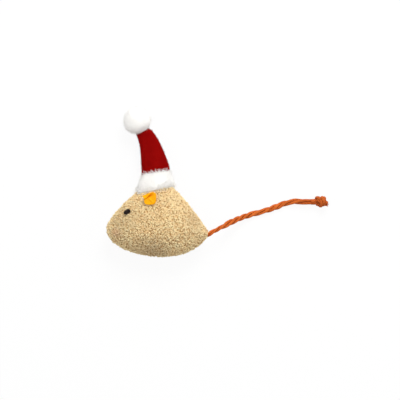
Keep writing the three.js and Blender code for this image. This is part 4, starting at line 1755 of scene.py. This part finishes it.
    def build_cone(self, pile: Pile) -> None:
        """Builds the flattened felt cone, which bends out of the brim.

        Args:
            pile: Trees for the fuzz.
        """
        start = self.brim + self.cone_gap
        whole = run_lengths(self.line())[-1]
        turn = full_turn(self.sides)
        rings = []
        rows = list(np.linspace(start - self.cone_inside, whole - 0.8, 44)) + [whole - 0.2, whole]
        for length in rows:
            share = share_of(length - start, whole - start)
            inset = 2 * max(0.0, (length - whole + 0.8) / 0.8) ** 2 * 1.2
            belly = self.cone_belly * math.sin(math.pi * share ** 0.4)
            corner = self.cone_corner * max(0.0, (length - whole + 5) / 5) ** 2
            wide = self.cone_low + (self.cone_tip - self.cone_low) * share + belly - inset - corner
            thick = self.cone_thick + (self.cone_thin - self.cone_thick) * share ** 1.2 - inset
            soft = 0.12 * np.cos(5 * turn + 0.7) * math.exp(-(share / 0.25) ** 2)
            soft += 0.15 * np.cos(3 * turn + 9 * share)
            rings.append(self.ring(length, wide, thick, soft, (belly - corner) / 2))
        felt = Shape().loft(np.array(rings)).to_object("cap_cone_felt", RED_FELT.material())
        fuzz = pile.grow(pile.fibres, felt, "cap_cone_fuzz", RED_FUZZ.material(), 21,
                         {"Length": 0.0009, "Thickness": 0.00007, "Spacing": 0.0005,
                          "Lift": 0.0, "Tilt": 1.1})
        for piece, nodes in ((felt, ("hat_cone",)), (fuzz, ())):
            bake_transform(piece)
            hand_in(piece, "red_felt", *nodes)

    def build_pompom(self, pile: Pile) -> None:
        """Builds the pompom on the tip of the cone.

        Args:
            pile: Trees for the plush.
        """
        turn = full_turn(self.pompom_sides)
        rings = []
        for high in np.linspace(0.06, math.pi - 0.06, 30):
            lump = 1 + 0.012 * np.sin(3 * turn + 2 * high) + 0.01 * np.sin(5 * turn - 3 * high)
            wide = lump * math.sin(high) ** self.pompom_full
            tall = math.copysign(abs(math.cos(high)) ** self.pompom_full, math.cos(high))
            rings.append(np.array(self.pompom) + self.pompom_radius * np.stack(
                [wide * np.cos(turn), wide * np.sin(turn), np.full(len(turn), tall)], axis=1))
        base = Shape().loft(np.array(rings)).to_object("pompom_core", WHITE_PLUSH.material())
        fibres = pile.grow(pile.fibres, base, "pompom_plush", WHITE_PILE.material(), 31,
                           {"Length": 0.0013, "Spacing": 0.0008, "Tilt": 1.2})
        for piece, nodes in ((base, ("hat_pompom",)), (fibres, ())):
            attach(piece, "pompom")
            hand_in(piece, "white_plush", *nodes)

    def build(self, pile: Pile) -> None:
        """Builds the whole cap.

        Args:
            pile: Trees for its plush and fuzz.
        """
        self.build_brim(pile)
        self.build_cone(pile)
        self.build_pompom(pile)


class Sewing:
    """Threads, filling and pouch that stay as the solids have them."""

    FINISHES = {
        "seam_thread": CREAM_THREAD, "closing_thread": CREAM_THREAD,
        "hat_tie_thread": CREAM_THREAD, "eye_thread": DARK_THREAD,
        "pompom_thread": RED_THREAD, "tail_inner_knot": RUST_CORD,
        "filling": FIBRE_FILLING, "catnip_pouch": POUCH_CLOTH,
    }

    def dress(self) -> None:
        """Gives each of these pieces its finish."""
        for node, finish in self.FINISHES.items():
            dress_mesh(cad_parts[node].data, finish.material())
            LOG.info("%s: dressed", node)


def main() -> None:
    """Builds the scene piece by piece."""
    logging.basicConfig(level=logging.INFO, format="%(name)s %(message)s")
    View().place()
    Tail().build()
    Studio().light()
    pile = Pile()
    Body().build(pile)
    Ear(Flank.LEFT, lift=16.0, cup=14.0, roll=1.05).build("ear_left", "left_ear")
    Ear(Flank.RIGHT, lift=5.0, cup=60.0, roll=0.0).build("ear_right", "right_ear")
    Cap().build(pile)
    Sewing().dress()


if __name__ == "__main__":
    main()
